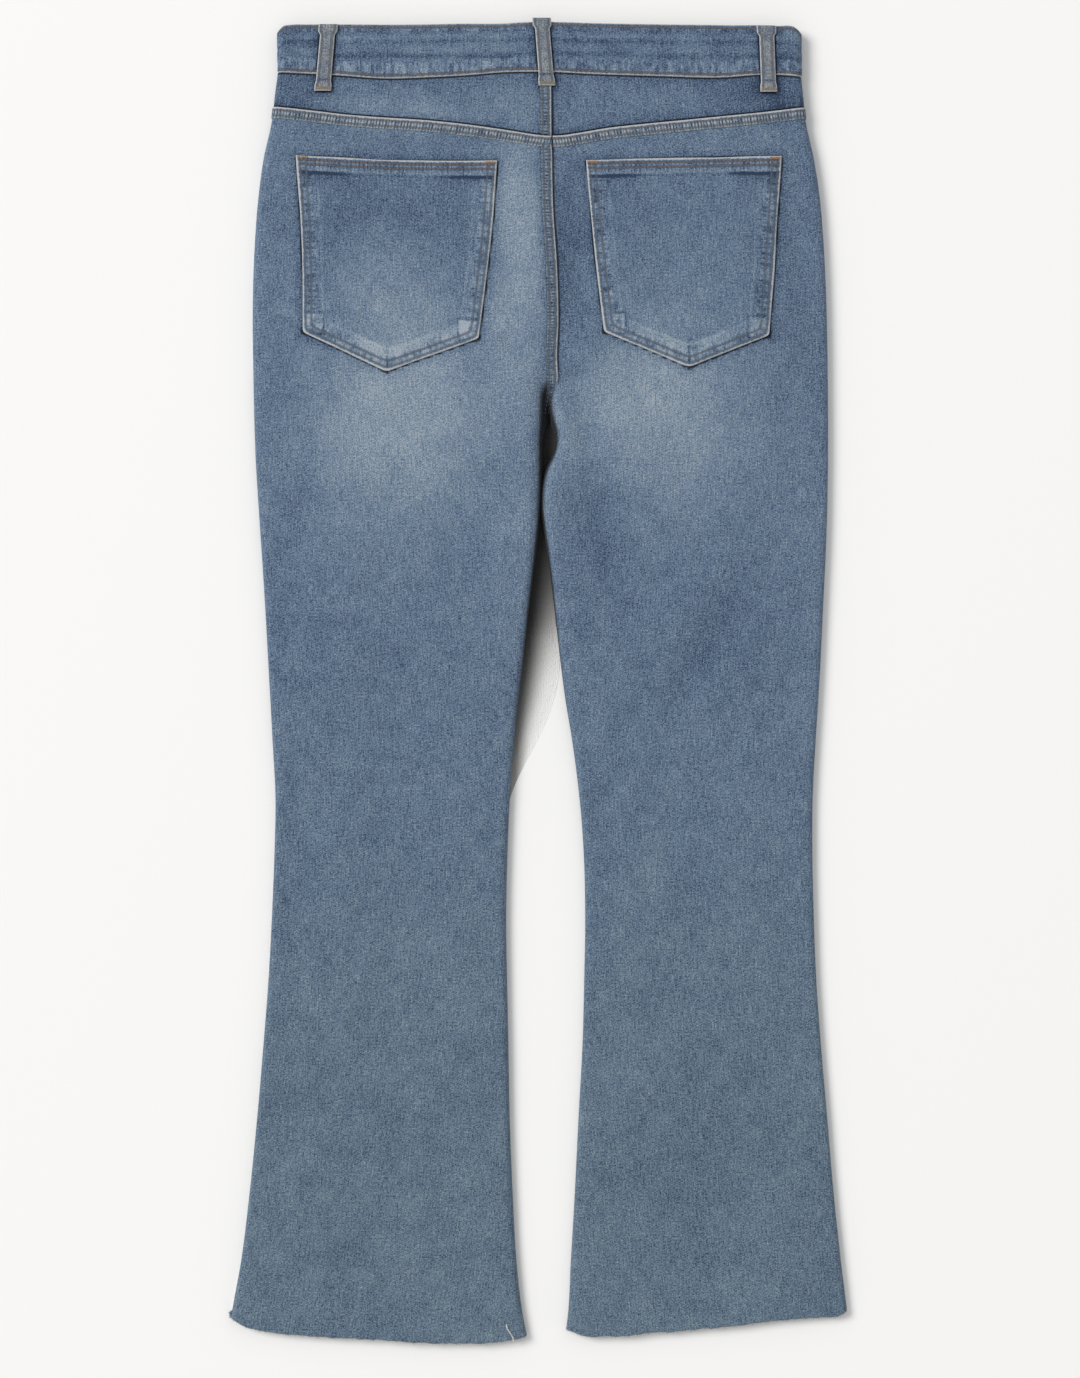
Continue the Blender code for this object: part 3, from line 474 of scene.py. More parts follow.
def buildSeamGroup():
    # a worn edge, sunk stitch rows darkened by painted shade in their grooves with some thread colour, and
    # the puckers between them, from the distance to the edge
    group = bpy.data.node_groups.new("seamWear", "ShaderNodeTree")
    for name, value in seamInputs.items():
        socket = group.interface.new_socket(name, in_out="INPUT", socket_type="NodeSocketFloat")
        socket.default_value = value
    for name in ("Edge", "Rows", "Ribs"):
        group.interface.new_socket(name, in_out="OUTPUT", socket_type="NodeSocketFloat")
    n = Nodes(group)
    given = n.add("NodeGroupInput").outputs
    distance, along = given["Distance"], given["Along"]
    place = n.add("ShaderNodeCombineXYZ", {"X": along, "Y": distance}).outputs[0]
    ragged = n.noise(place, 480.0, 2.0)
    width = n.times(given["Edge Width"], n.range(ragged, 0.3, 0.7, 0.7, 1.25))
    rows = 0.0
    for name in ("Row A", "Row B"):
        off = n.math("ABSOLUTE", n.math("SUBTRACT", distance, given[name]))
        rows = n.math("MAXIMUM", rows, n.range(off, 0.0015, 0.0004))
    ribPlace = n.times(along, given["Rib Scale"])
    flat = n.add("ShaderNodeCombineXYZ", {"X": ribPlace, "Y": n.times(distance, 90.0)}).outputs[0]
    ribs = n.range(n.noise(flat, 1.0, 1.0, 0.4), 0.36, 0.64, -1.0, 1.0)
    # the ladder of even puckers on a felled seam, a little unsteady along it
    turn = n.plus(n.times(ribPlace, 3.927), n.times(ragged, 5.0))
    rungs = n.times(n.math("SINE", turn), given["Ladder"])
    inner = n.range(distance, 0.0012, 0.0024)
    outer = n.range(n.math("SUBTRACT", given["Strip"], distance), -0.0004, 0.0018)
    n.add("NodeGroupOutput", {"Edge": n.range(n.math("DIVIDE", distance, width), 1.3, 0.7), "Rows": rows,
                              "Ribs": n.times(n.plus(ribs, rungs), inner, outer)})
    return group


weaveGroup, seamGroup = buildWeaveGroup(), buildSeamGroup()


def newMaterial(name, finish):
    made = bpy.data.materials.new(name)
    made.use_nodes = True
    shader = made.node_tree.nodes["Principled BSDF"]
    for key, value in finish.items():
        shader.inputs[key].default_value = value
    return made, shader


def denimMaterial(name, seams=(), shadeHalos=(), lightness=0.0, hem=False, shadeOnUpperFace=False, tint=None):
    # seams: mask, width of the worn edge, two stitch rows, strip, pitch and depth of the puckers and of
    # their even ladder; shadeHalos: mask of the distance to what lies on the cloth, how dark the painted
    # shadow line beside it is, and how dark the soft shade past it, painted, with some darker dye by a seam
    made, shader = newMaterial(name, {"Roughness": 0.94, "Specular IOR Level": 0.15, "Sheen Weight": 0.08,
                                      "Sheen Roughness": 0.6})
    n = Nodes(made.node_tree)
    woven = n.add("ShaderNodeGroup", node_tree=weaveGroup).outputs
    tone = n.plus(n.mask("fade"), denimLook["tone"] + lightness,
                  n.times(woven["Grain"], denimLook["grain"]))
    pale, rows, shadeLines = [], [], []
    for mask, width, rowA, rowB, strip, pitch, depth, ladder in seams:
        given = {"Edge Width": width * mm, "Row A": rowA * mm, "Row B": rowB * mm, "Strip": strip * mm,
                 "Rib Scale": 1.6 / (pitch * mm), "Ladder": ladder, "Distance": n.mask(mask),
                 "Along": n.mask("along")}
        wear = n.add("ShaderNodeGroup", given, node_tree=seamGroup).outputs
        tone = n.plus(tone, n.times(wear["Ribs"], depth))
        pale.append((wear["Edge"], denimLook["edgeWear"], "edge"))
        # the stitch rows take painted shade of their grooves, tinted by the thread
        rows.append((wear["Rows"], denimLook["rowThreadAndShade"], "sunk" if mask == "fromEdge" else "groove"))
    # painted shadow: a dark line beside what lies on the cloth, and soft painted shade past it
    for mask, crisp, soft in shadeHalos:
        distance = n.mask(mask)
        shadeLines.append((n.range(distance, 1.9 * mm, 0.8 * mm), crisp, "stepShadow"))
        tone = n.math("SUBTRACT", tone, n.range(distance, 9.0 * mm, 0.0, 0.0, soft))
    ramp = n.add("ShaderNodeValToRGB", {"Fac": tone})
    stops = denimLook["stops"]
    ramp.color_ramp.elements[0].position, ramp.color_ramp.elements[1].position = stops[0][0], stops[-1][0]
    for place, _ in stops[1:-1]:
        ramp.color_ramp.elements.new(place)
    for element, (_, key) in zip(ramp.color_ramp.elements, stops):
        element.color = denimLook[key]
    colour = ramp.outputs["Color"]
    low = n.range(n.axisOf("Object", "Y"), 0.10, -0.42)
    colour = n.mixed(low, colour, n.mixed(1.0, colour, denimLook["lowLeg"], "MULTIPLY"))
    if tint:
        colour = n.mixed(1.0, colour, denimLook[tint], "MULTIPLY")
    for mask, amount, key in shadeLines + rows + pale:
        colour = n.mixed(n.times(mask, amount), colour, denimLook[key])
    if hem:
        raw = n.range(n.mask("fromHem"), 0.9 * mm, 0.2 * mm, 0.0, 0.45)
        colour = n.mixed(raw, colour, denimLook["raw"])
    paintedShade = n.mask("paintedShade")
    # painted shadow between the legs goes only on the face that looks up, into the garment, which is painted
    # floor-white under it
    if shadeOnUpperFace:      # only on the face that looks up, into the garment
        inside = n.range(n.axisOf("Normal", "Z"), -0.5, -0.1)
        colour = n.mixed(inside, colour, denimLook["floorWhiteInside"])
        paintedShade = n.times(paintedShade, inside)
    bump = n.add("ShaderNodeBump", {"Strength": 0.6, "Distance": 0.0010, "Height": woven["Height"]})
    n.tree.links.new(n.mixed(paintedShade, colour, denimLook["paintedShade"]), shader.inputs["Base Color"])
    n.tree.links.new(bump.outputs["Normal"], shader.inputs["Normal"])
    return made


def grainyMaterial(name, colour, ridge=900.0, roughness=0.75, metallic=0.0):
    # thread or metal, with a fine uneven grain
    made, shader = newMaterial(name, {"Roughness": roughness, "Specular IOR Level": 0.25,
                                      "Metallic": metallic})
    n = Nodes(made.node_tree)
    grain = n.noise(n.add("ShaderNodeTexCoord").outputs["Object"], ridge, 2.0)
    shade = n.range(grain, 0.3, 0.7, 0.72, 1.12)
    scaled = n.add("ShaderNodeVectorMath", {0: linear(*colour)[:3], "Scale": shade}, operation="SCALE")
    n.tree.links.new(scaled.outputs[0], shader.inputs["Base Color"])
    return made


panelDenim = denimMaterial("panelDenim", hem=True,
                           shadeHalos=(("nearPocket", 0.9, 0.16), ("nearSeat", 0.85, 0.14)))
yokeDenim = denimMaterial("yokeDenim", lightness=-0.03,
                          shadeHalos=(("nearBand", 0.97, 0.10), ("nearYoke", 0.97, 0.16),
                                 ("nearSeat", 0.85, 0.14), ("nearLoop", 0.8, 0.14)))
fellDenim = denimMaterial("fellDenim", seams=(("fromEdge", 1.35, 2.5, 6.9, 9.2, 2.5, 0.30, 1.3),),
                          shadeHalos=(("nearYoke", 0.97, 0.10),), lightness=0.04, tint="fellGrey")
seatDenim = denimMaterial("seatDenim", seams=(("fromEdge", 1.1, 2.5, 6.9, 9.2, 2.5, 0.18, 0.9),),
                          shadeHalos=(("nearYoke", 0.97, 0.10),), lightness=-0.05, tint="fellGrey")
pocketDenim = denimMaterial("pocketDenim", seams=(("fromEdge", 1.25, 2.6, 7.2, 12.0, 4.4, 0.17, 0.0),
                                                  ("fromMouth", 1.2, 3.1, 6.8, 12.0, 3.2, 0.12, 0.6)))
bandDenim = denimMaterial("bandDenim", seams=(("fromLower", 1.1, 2.6, 2.6, 13.0, 6.0, 0.17, 0.0),
                                              ("fromUpper", 0.5, 2.6, 2.6, 7.0, 5.0, 0.12, 0.0)),
                          shadeHalos=(("nearLoop", 0.9, 0.18),), lightness=-0.10)
frontDenim = denimMaterial("frontDenim", hem=True, shadeOnUpperFace=True)
plainDenim = denimMaterial("plainDenim")
loopDenim = denimMaterial("loopDenim", seams=(("fromEdge", 0.8, 2.2, 2.2, 3.6, 3.0, 0.12, 0.4),),
                          lightness=0.16, tint="loopGrey")
threadColours = {"greyThread": (126, 112, 103), "duskThread": (104, 106, 114), "rawYarn": (104, 120, 138),
                 "rawWeft": (228, 227, 224), "tanThread": (158, 142, 118), "goldThread": (178, 134, 88)}
threads = {name: grainyMaterial(name, colour) for name, colour in threadColours.items()}
buttonBrass = grainyMaterial("buttonBrass", (176, 138, 92), 500.0, 0.38, 1.0)
print("materials made")


# x, down, half width, half height and strength of each paler or darker patch of the washed cloth; the
# darker patches in the fold troughs beside the seat seam and on the right leg's crease are painted shade
washAndShadePatches = [(-119, 328, 80, 74, 0.35), (92, 312, 84, 78, 0.35), (-18, 196, 34, 110, 0.31),
          (-14, 120, 30, 60, 0.08), (-112, 232, 60, 62, 0.30), (122, 222, 60, 60, 0.15),
          (-60, 400, 120, 90, 0.06), (100, 400, 110, 90, 0.03), (-100, 66, 70, 14, 0.24),
          (100, 66, 60, 14, 0.08), (-200, 64, 34, 22, -0.10), (178, 66, 56, 26, -0.25),
          (30, 190, 15, 90, -0.08), (46, 410, 26, 70, -0.12), (205, 200, 26, 120, -0.04),
          (-120, 700, 80, 120, 0.02), (120, 700, 80, 120, 0.01), (150, 470, 60, 60, -0.06),
          (-122, 150, 70, 34, -0.06)]


def washAndFoldShade(x, down):
    # how much of the dye has gone at a place, over the denim's usual tone, with painted shade in fold
    # troughs
    x, down = np.asarray(x, float), np.asarray(down, float)
    warpX = x + 16 * softNoise(x, down, 60, 71) + 6 * softNoise(x, down, 22, 72)
    warpDown = down + 16 * softNoise(x, down, 60, 73) + 6 * softNoise(x, down, 22, 74)
    total = 0.035 * softNoise(x, down, 48, 75) + 0.03 * softNoise(x, down * 0.5, 14, 76)
    for midX, midDown, wide, tall, strength in washAndShadePatches:
        far = np.hypot((warpX - midX) / wide, (warpDown - midDown) / tall)
        total = total + strength * ease(far, 1.5, 0.0)
    # paler on the fold ridges and darker in the troughs: painted light and shade, with some wear on the
    # ridges
    return total + 0.03 * clothHeight(x, down)


# x and down of a belt loop's upper and lower end, and its width at each
backLoops = {"left": (-168.6, 5.6, -173.2, 58.8, 11.8, 12.2), "centre": (1.6, 0.3, 6.0, 54.6, 11.6, 12.0),
             "right": (181.2, 6.8, 183.2, 59.6, 12.0, 12.0)}
frontLoops = {"left": (-104.0, 15.0, -106.0, 70.0, 12.4, 12.6),
              "right": (112.0, 15.0, 114.0, 70.0, 12.4, 12.6)}
farAway = 90.0      # a mask's value where nothing is near


def nearLoops(x, down):
    # distance to the nearest belt loop on the back
    best = np.full(np.broadcast(x, down).shape, farAway)
    for xTop, downTop, xLow, downLow, widthTop, widthLow in backLoops.values():
        t = np.clip((down - downTop) / (downLow - downTop), 0, 1)
        aside = np.maximum(np.abs(x - mix(xTop, xLow, t)) - mix(widthTop, widthLow, t) / 2, 0)
        best = np.minimum(best, np.hypot(aside, np.maximum(down - downLow, 0)))
    return best


# pull: how far the outer side, the inner side and the mouth bow towards +X, +X and down
pockets = {"left": {"mouthOut": (-194.5, 110.0), "mouthIn": (-33.8, 114.6), "lowIn": (-48.2, 256.8),
                    "tip": (-122.0, 282.8), "lowOut": (-189.4, 251.2), "pull": (1.7, 1.5, 2.0)},
           "right": {"mouthOut": (193.5, 110.8), "mouthIn": (37.2, 114.0), "lowIn": (51.8, 251.4),
                     "tip": (119.6, 279.6), "lowOut": (183.6, 254.2), "pull": (0.4, -1.1, 0.2)}}
pocketCloth = {"wall": 1.3, "deepest": 2.4, "hem": 12.2, "hemLap": 0.6, "columns": 120, "rows": 118,
               "edgeDrop": 0.38, "edgeRun": 1.5, "edgeRows": (2.5, 7.2), "hemRows": (3.1, 6.8),
               "groove": 0.24, "grooveWidth": 0.6, "ridge": 16.0, "ridgeHeight": 0.22, "cornerSharp": 0.75,
               "patch": 8.4, "patchIn": (8.5, 7.0)}


def pocketRing(side):
    return [pockets[side][key] for key in ("mouthOut", "lowOut", "tip", "lowIn", "mouthIn")]


def lineDistance(x, down, a, b):
    # distance from a place to the stretch between two corners, and how far along that it is
    runX, runDown = b[0] - a[0], b[1] - a[1]
    t = np.clip(((x - a[0]) * runX + (down - a[1]) * runDown) / (runX ** 2 + runDown ** 2), 0, 1)
    return np.hypot(x - a[0] - t * runX, down - a[1] - t * runDown), t * math.hypot(runX, runDown)


def pocketPull(side, x, down):
    # the pocket's sides and mouth lie a little out of straight
    c = pockets[side]
    t = np.clip((down - c["mouthOut"][1]) / (c["lowOut"][1] - c["mouthOut"][1]), 0, 1)
    s = np.clip((x - c["mouthOut"][0]) / (c["mouthIn"][0] - c["mouthOut"][0]), 0, 1)
    outer, inner, mouth = c["pull"]
    return np.sin(math.pi * t) * mix(outer, inner, s), np.sin(math.pi * s) * mouth * (1 - 0.9 * t)


def pocketDistances(side, x, down):
    # distance to the outline below the mouth, and to the mouth; the exponentials round the low corners
    pullX, pullDown = pocketPull(side, x, down)
    x, down = x - pullX, down - pullDown
    ring, sharp = pocketRing(side), pocketCloth["cornerSharp"]
    total = sum(np.exp(-sharp * lineDistance(x, down, a, b)[0]) for a, b in zip(ring, ring[1:]))
    return -np.log(total) / sharp, lineDistance(x, down, ring[0], ring[-1])[0]


def pocketAlong(side, x, down):
    # how far round the outline the nearest place on it is
    ring = pocketRing(side)
    best, along, start = np.full(x.shape, 1e9), np.zeros(x.shape), 0.0
    for a, b in zip([ring[-1]] + ring, ring):
        far, passed = lineDistance(x, down, a, b)
        along, best = np.where(far < best, start + passed, along), np.minimum(far, best)
        start += math.dist(a, b)
    return along


def pocketRelief(side, x, down):
    # height over the pocket's plain face: folded hem, rolled edges, sunk seams and puckers
    c = pocketCloth
    fromEdge, fromMouth = pocketDistances(side, x, down)
    hem = c["hemLap"] * (1 - ease(fromMouth, c["hem"] - 0.5, c["hem"] + 0.7))
    near = np.maximum(np.minimum(fromEdge, fromMouth), 0)
    edge = c["edgeDrop"] * (1 - ease(near, 0, c["edgeRun"]))
    grooves = sum(bell(fromEdge, row, c["grooveWidth"]) for row in c["edgeRows"])
    grooves = grooves + sum(bell(fromMouth, row, c["grooveWidth"]) for row in c["hemRows"])
    ribs = 0.16 * softNoise(x, down, 2.8, 41) * (1 - ease(near, 8.5, 11.5))
    ridge = c["ridgeHeight"] * bell(fromEdge, c["ridge"], 1.6)
    ridge = ridge * (0.6 + 0.4 * softNoise(x, down, 24, 43)) * ease(fromMouth, 14, 30)
    soft = 0.35 * ease(fromEdge, 12, 40) * softNoise(x, down, 34, 44) + 0.12 * softNoise(x, down, 11, 45)
    return hem - edge - c["groove"] * grooves + ribs + ridge + soft


def pocketHeight(side, x, down):
    return backAt(x, down) + gap + pocketCloth["wall"] + pocketRelief(side, x, down)


def pocketTone(side, x, down, fromEdge, fromMouth):
    # the body of the pocket has painted shade under its hem and at its corners, is darker at its edges, and
    # paler low in the middle
    c, hem = pockets[side], pocketCloth["hem"]
    tone = 0.85 * washAndFoldShade(x, down) - 0.05
    under = ease(fromMouth, hem - 0.2, hem + 0.4)
    corner = ease(np.minimum(np.abs(x - c["mouthOut"][0]), np.abs(x - c["mouthIn"][0])), 50, 16)
    # painted shadow under the hem's step, deepest at its ends, and the pale fold above it
    tone = tone - under * bell(fromMouth, hem + 0.9, 1.2) * (0.08 + 1.15 * corner)
    tone = tone + 0.02 * ease(fromMouth, 60, 20) * under + 0.06 * (1 - under)
    # painted shade in the corners under the hem
    tone = tone - 0.16 * corner * under * ease(fromMouth, 26, 15)
    tone = tone + 0.16 * bell(fromMouth, hem - 1.3, 0.8)
    # painted shade in the sunk rows of the hem
    for row in pocketCloth["hemRows"]:
        tone = tone - 0.26 * bell(fromMouth, row, 1.0) * ease(fromEdge, 2, 4)
    # the seam allowance inside shows as a pale ridge and a mottled strip
    ridge = bell(fromEdge, pocketCloth["ridge"], 1.1) * ease(fromMouth, 16, 34)
    tone = tone + ridge * (0.13 + 0.10 * softNoise(x, down, 16, 81))
    strip = ease(fromEdge, 14.5, 12) * ease(fromEdge, 2.5, 4.0) * under
    tone = tone + strip * (0.03 + 0.17 * softNoise(x, down, 6.5, 82) + 0.08 * softNoise(x, down, 2.6, 84))
    # a worn square at each low corner, a pale strip along the low edge and a dark line at the tip
    insetX, insetDown = pocketCloth["patchIn"]
    for lowX, lowDown in (c["lowOut"], c["lowIn"]):
        aside = np.abs(x - lowX - math.copysign(insetX, c["tip"][0] - lowX))
        square = np.maximum(aside, np.abs(down - lowDown + insetDown))
        worn = ease(square, pocketCloth["patch"], pocketCloth["patch"] - 1.2)
        rim = ease(np.abs(square - pocketCloth["patch"]), 1.6, 0.4)
        tone = tone + worn * (0.22 + 0.16 * softNoise(x, down, 5, 83)) - 0.30 * rim * ease(fromEdge, 2, 4)
    low = ease(down, c["lowOut"][1] - 12, c["lowOut"][1] - 2)
    low = low * ease(fromEdge, 18, 15) * ease(fromEdge, 8, 9.5)
    tone = tone + 0.17 * low * (1 + softNoise(x, down, 9, 85))
    above = c["tip"][1] - down
    return tone - 0.5 * bell(x, c["tip"][0], 0.8) * ease(above, 19, 17) * ease(above, 2, 5)


front = {"scoopWidth": 82.0, "scoopDepth": 70.0, "scoopStep": 4.0, "columns": 60, "rowStep": 6.0,
         "evenShare": 0.982, "edgeShares": (0.988, 0.993, 0.9965, 0.999, 1.0), "hemInset": 0.8,
         "facingWall": 1.05, "facingGap": 0.6, "facingColumns": 24, "partGap": 0.02, "feather": 11.0,
         "edgeHeight": -0.12, "edgeThin": 0.95, "part": {"left": (500, 640), "right": (450, 500)}}
# painted shadow between the legs, on the fronts: how deep it is, and how far from the left leg it reaches
gapShadow = {"depthDown": (480, 545, 577, 640, 700), "depth": (0.97, 0.88, 0.80, 0.55, 0.0),
            "reachDown": (440, 465, 497, 529, 545, 577, 640), "reach": (80, 60, 36, 28, 25, 17, 10)}


def frontWaist(x):
    # the waistband's lower edge on the front, which is cut lower at the centre
    swing = np.minimum(np.abs(np.asarray(x, float) - frontCentre) / 430, 0.5)
    return bandAt(x) + garment["frontDip"] * np.cos(math.pi * swing) ** 2


frontTop = {side: float(frontWaist(sideAt[side](60))) for side in outward}


def frontOuter(side, down, inset=0.0):
    return sideAt[side](down) - outward[side] * (garment["frontInset"] + inset)


def frontInner(side, down):
    out = outward[side]
    centre = frontCentre + ease(down, 250, 330) - 5.2 * ease(down, 345, 380)
    own = inseamAt[side](down) + out * garment["frontInset"]
    # below the crotch the two fronts stay together between the legs, a sheet that carries the painted shadow
    # there
    own = mix(inseamAt["right"](down) + out * front["partGap"], own, ease(down, *front["part"][side]))
    apart = mix(gap / 2, front["partGap"], ease(down, 270, 290))
    return mix(centre + out * apart, own, ease(down, 376, 406))


def frontGrid(side, rows, shares):
    # a row for each distance down, outer end and inner end
    top, grid = frontTop[side], []
    for down, outer, inner in rows:
        x = mix(outer, inner, shares)
        dip = (frontWaist(x) + 2 * gap - top) * ease(down, top + 150, top)
        hem = hemAt[side](x) - hemMean - front["hemInset"]
        here = down + dip + hem * ease(down, hemMean - garment["hemFade"], hemMean)
        grid.append((x, here, frontHeight(here) + denimWall))
    return (np.array(part) for part in zip(*grid))


def makeFront(side):
    top, depth = frontTop[side], front["scoopDepth"]
    rows = []
    for angle in np.radians(np.arange(0, 90, front["scoopStep"])):
        down = top + depth * math.sin(angle)
        outer = frontOuter(side, down, front["scoopWidth"] * math.cos(angle))
        rows.append((down, outer, frontInner(side, down)))
    for down in [*np.arange(top + depth, hemMean - 3, front["rowStep"]), hemMean]:
        rows.append((down, frontOuter(side, down), frontInner(side, down)))
    shares = np.append(np.linspace(0, front["evenShare"], front["columns"]), front["edgeShares"])
    x, down, z = frontGrid(side, rows, shares)
    # painted shadow on the fronts where they lie in the gap between the legs
    depthHere = np.interp(down, gapShadow["depthDown"], gapShadow["depth"])
    reach = np.interp(down, gapShadow["reachDown"], gapShadow["reach"])
    away = ease((x - inseamAt["left"](down) - 3) / np.maximum(reach - 3, 1), 0, 1)
    # the edge in the gap thins out, so that no step shows there
    thin = ease(down, 470, 500) * ease(down, 680, 640)
    thin = thin * (1 - ease(np.abs(x - x[:, -1:]), 0, front["feather"]))
    face = (x, down, mix(z, front["edgeHeight"], thin))
    sewCloth("cloth_front_" + side, (0.26, 1.02), face, denimWall, frontDenim, ["paleFloor"],
             "front_leg_" + side, masks={"fromHem": hemAt[side](x) - front["hemInset"] - down},
             paint={"fade": 0.02 + 0.6 * washAndFoldShade(-x, down),
                    "paintedShade": depthHere * (1 - away) * ease(down, 270, 290)},
             wallShare=1 - front["edgeThin"] * thin)


def makeFacing(side):
    rows = []
    for angle in np.radians(np.arange(0, 81, front["scoopStep"])):
        down = frontTop[side] + (front["scoopDepth"] - front["facingGap"]) * math.sin(angle)
        mouth = (front["scoopWidth"] - front["facingGap"]) * math.cos(angle)
        rows.append((down, frontOuter(side, down), frontOuter(side, down, mouth)))
    face = tuple(frontGrid(side, rows, np.linspace(0, 1, front["facingColumns"])))
    sewCloth("cloth_pocket_facing_" + side, (0.086, 0.076), face, front["facingWall"], plainDenim,
             ["paleFloor"], "pocket_facing_" + side)


shield = {"width": 42.0, "length": 150.0, "rows": 60, "columns": 18, "belowBand": 2.0, "taper": 0.35}


def makeFlyShield():
    t = np.linspace(0, 1, shield["rows"])[:, None]
    share = np.linspace(-1, 1, shield["columns"])[None, :]
    down = frontWaist(frontCentre) + shield["belowBand"] + shield["length"] * t + share * 0
    x = frontCentre + shield["width"] / 2 * (1 - shield["taper"] * t ** 6) * share
    face = (x, down, frontHeight(down) + 2 * denimWall + gap)
    sewCloth("cloth_fly_shield", (0.05, 0.16), face, denimWall, plainDenim,
             ["cloth_front_left", "cloth_front_right"], "fly_shield")


for make in (makeFront, makeFacing):
    for side in outward:
        make(side)
makeFlyShield()
print("fronts, hip facings and fly shield made")


backLeg = {"acrossStep": 2.7, "seatStep": 3.2, "legStep": 4.2, "hemRagged": 0.7, "seatEnd": 430.0,
           "legEnd": 1044.0, "firstRows": (0, 1, 2.2, 3.6, 5.2, 7, 9, 11.4, 14, 17, 20),
           "lastRows": (1045.5, 1047.4, 1048.8, 1050.0), "paintedShade": 0.97}
yoke = {"rows": 18, "means": (46.0, 82.0), "fade": 30.0}
fell = {"width": 9.2, "rise": 0.95, "step": 0.55, "edgeDrop": 0.5, "edgeRun": 1.3, "wall": 0.85,
        "pitch": 1.2, "pucker": 0.10, "rows": (2.4, 6.8), "groove": 0.22, "grooveWidth": 0.55,
        "seatStep": 1.5, "seatEnd": 317.0, "seatFade": 10.0}


def seatDistance(side, fromSeat):
    # distance to the seat strip, whose left edge has worn pale and shows no dark line beside it
    return fromSeat - fell["width"] + 1.5 if side == "left" else fromSeat


def makeBackLeg(side):
    rows = [yokeMean + gap / 2 + down for down in backLeg["firstRows"]]
    for step, end in ((backLeg["seatStep"], backLeg["seatEnd"]), (backLeg["legStep"], backLeg["legEnd"])):
        rows += list(np.arange(rows[-1] + step, end, step))
    rows += backLeg["lastRows"]
    grid = backGrid(side, [legLay] * len(rows), spread(seamStations, backLeg["acrossStep"]), rows)
    x, down, z, fromSeat = (grid[key] for key in ("x", "down", "z", "fromSeat"))
    ragged = backLeg["hemRagged"] * (lineNoise(x, 2.2, 21) * 0.6 + lineNoise(x, 9, 22))
    down = down + ease(down, hemAt[side](x) - 6, hemAt[side](x)) * ragged
    masks = {"fromHem": hemAt[side](x) + ragged - down,
             "nearPocket": np.minimum(*pocketDistances(side, x, down)),
             "nearSeat": mix(farAway, seatDistance(side, fromSeat), ease(down, 312, 306))}
    # painted shadow on the cloth that rolls down from the inner crest into the crotch gap
    sunk = crestLoft(down) + clothHeight(x, down) - z
    paintedShade = ease(sunk, 1.6, 5.0) * ease(down, 283, 297) * ease(down, 620, 440) * ease(fromSeat, 46, 38)
    sewCloth("cloth_back_leg_" + side, (0.27, 1.0), (x, down, z), denimWall, panelDenim,
             ["cloth_front_" + side], "back_leg_" + side, masks=masks,
             uv=(outward[side] * (grid["fromSide"] + 10.0), down),
             paint={"fade": washAndFoldShade(x, down), "paintedShade": backLeg["paintedShade"] * paintedShade})
    return np.stack([x[-1], down[-1], z[-1] - denimWall / 2], -1)


def yokeLays():
    # rows from the band's seam to the yoke's
    def line(t):
        return lambda x: mix(bandAt(x) + gap, yokeAt(x) - gap / 2, t)
    return [(line(t), mix(*yoke["means"], t), yoke["fade"]) for t in np.linspace(0, 1, yoke["rows"])]


def makeYoke(side):
    grid = backGrid(side, yokeLays(), spread(seamStations, backLeg["acrossStep"]))
    x, down = grid["x"], grid["down"]
    masks = {"nearYoke": yokeAt(x) - down, "nearBand": down - bandAt(x),
             "nearSeat": seatDistance(side, grid["fromSeat"]), "nearLoop": nearLoops(x, down)}
    sewCloth("cloth_yoke_" + side, (0.226, 0.058), (x, down, grid["z"]), denimWall, yokeDenim,
             ["cloth_pocket_facing_" + side, "cloth_front_" + side], "yoke_" + side, masks=masks,
             uv=(outward[side] * (grid["fromSide"] + 10.0) + 400, down), paint={"fade": washAndFoldShade(x, down)})


hemLines = {side: makeBackLeg(side) for side in outward}
for side in outward:
    makeYoke(side)
print("backs of the legs and yoke made")


def fellFace(side, grid, across, fade, ribsAlong):
    # a strip moved out from the cloth under it, square to its face; across runs from its worn edge
    edge = sum(fell["edgeDrop"] * (1 - ease(far, 0, fell["edgeRun"]))
               for far in (across, fell["width"] - across))
    grooves = sum(bell(across, row, fell["grooveWidth"]) for row in fell["rows"])
    ribs = fell["pucker"] * softNoise(ribsAlong, grid["down"], 2.6, 31)
    rise = (fell["rise"] - edge - fell["groove"] * grooves + ribs) * fade
    tangentX, tangentZ = np.gradient(grid["x"], axis=1), np.gradient(grid["z"], axis=1)
    length = np.hypot(tangentX, tangentZ) * -outward[side]
    return grid["x"] - tangentZ / length * rise, grid["down"], grid["z"] + tangentX / length * rise


def makeYokeFell(side):
    # from the side fold to the seat line, over the top of the leg
    across = np.linspace(0, fell["width"], int(fell["width"] / fell["step"]) + 1)
    lays = [(lambda x, d=d: yokeAt(x) + d, yokeMean + d, garment["seamFade"]) for d in across]
    grid = backGrid(side, lays, spread((0.1,), fell["pitch"]))
    fromSide = grid["fromSide"]
    across = np.tile(across[:, None], (1, fromSide.shape[1]))
    face = fellFace(side, grid, across, 1.0, fromSide + 600)
    # paler between the stitch rows and at the far edge
    tone = 0.16 * bell(across, 4.5, 1.0) + 0.30 * bell(across, 8.9, 0.8)
    sewCloth("cloth_yoke_fell_" + side, (0.25, 0.012), face, fell["wall"], fellDenim,
             ["cloth_back_leg_" + side],
             masks={"fromEdge": across, "along": fromSide + 40, "nearYoke": farAway},
             uv=(outward[side] * fromSide + 900, face[1]), paint={"fade": 0.5 * washAndFoldShade(*face[:2]) + tone})
    return *face, across


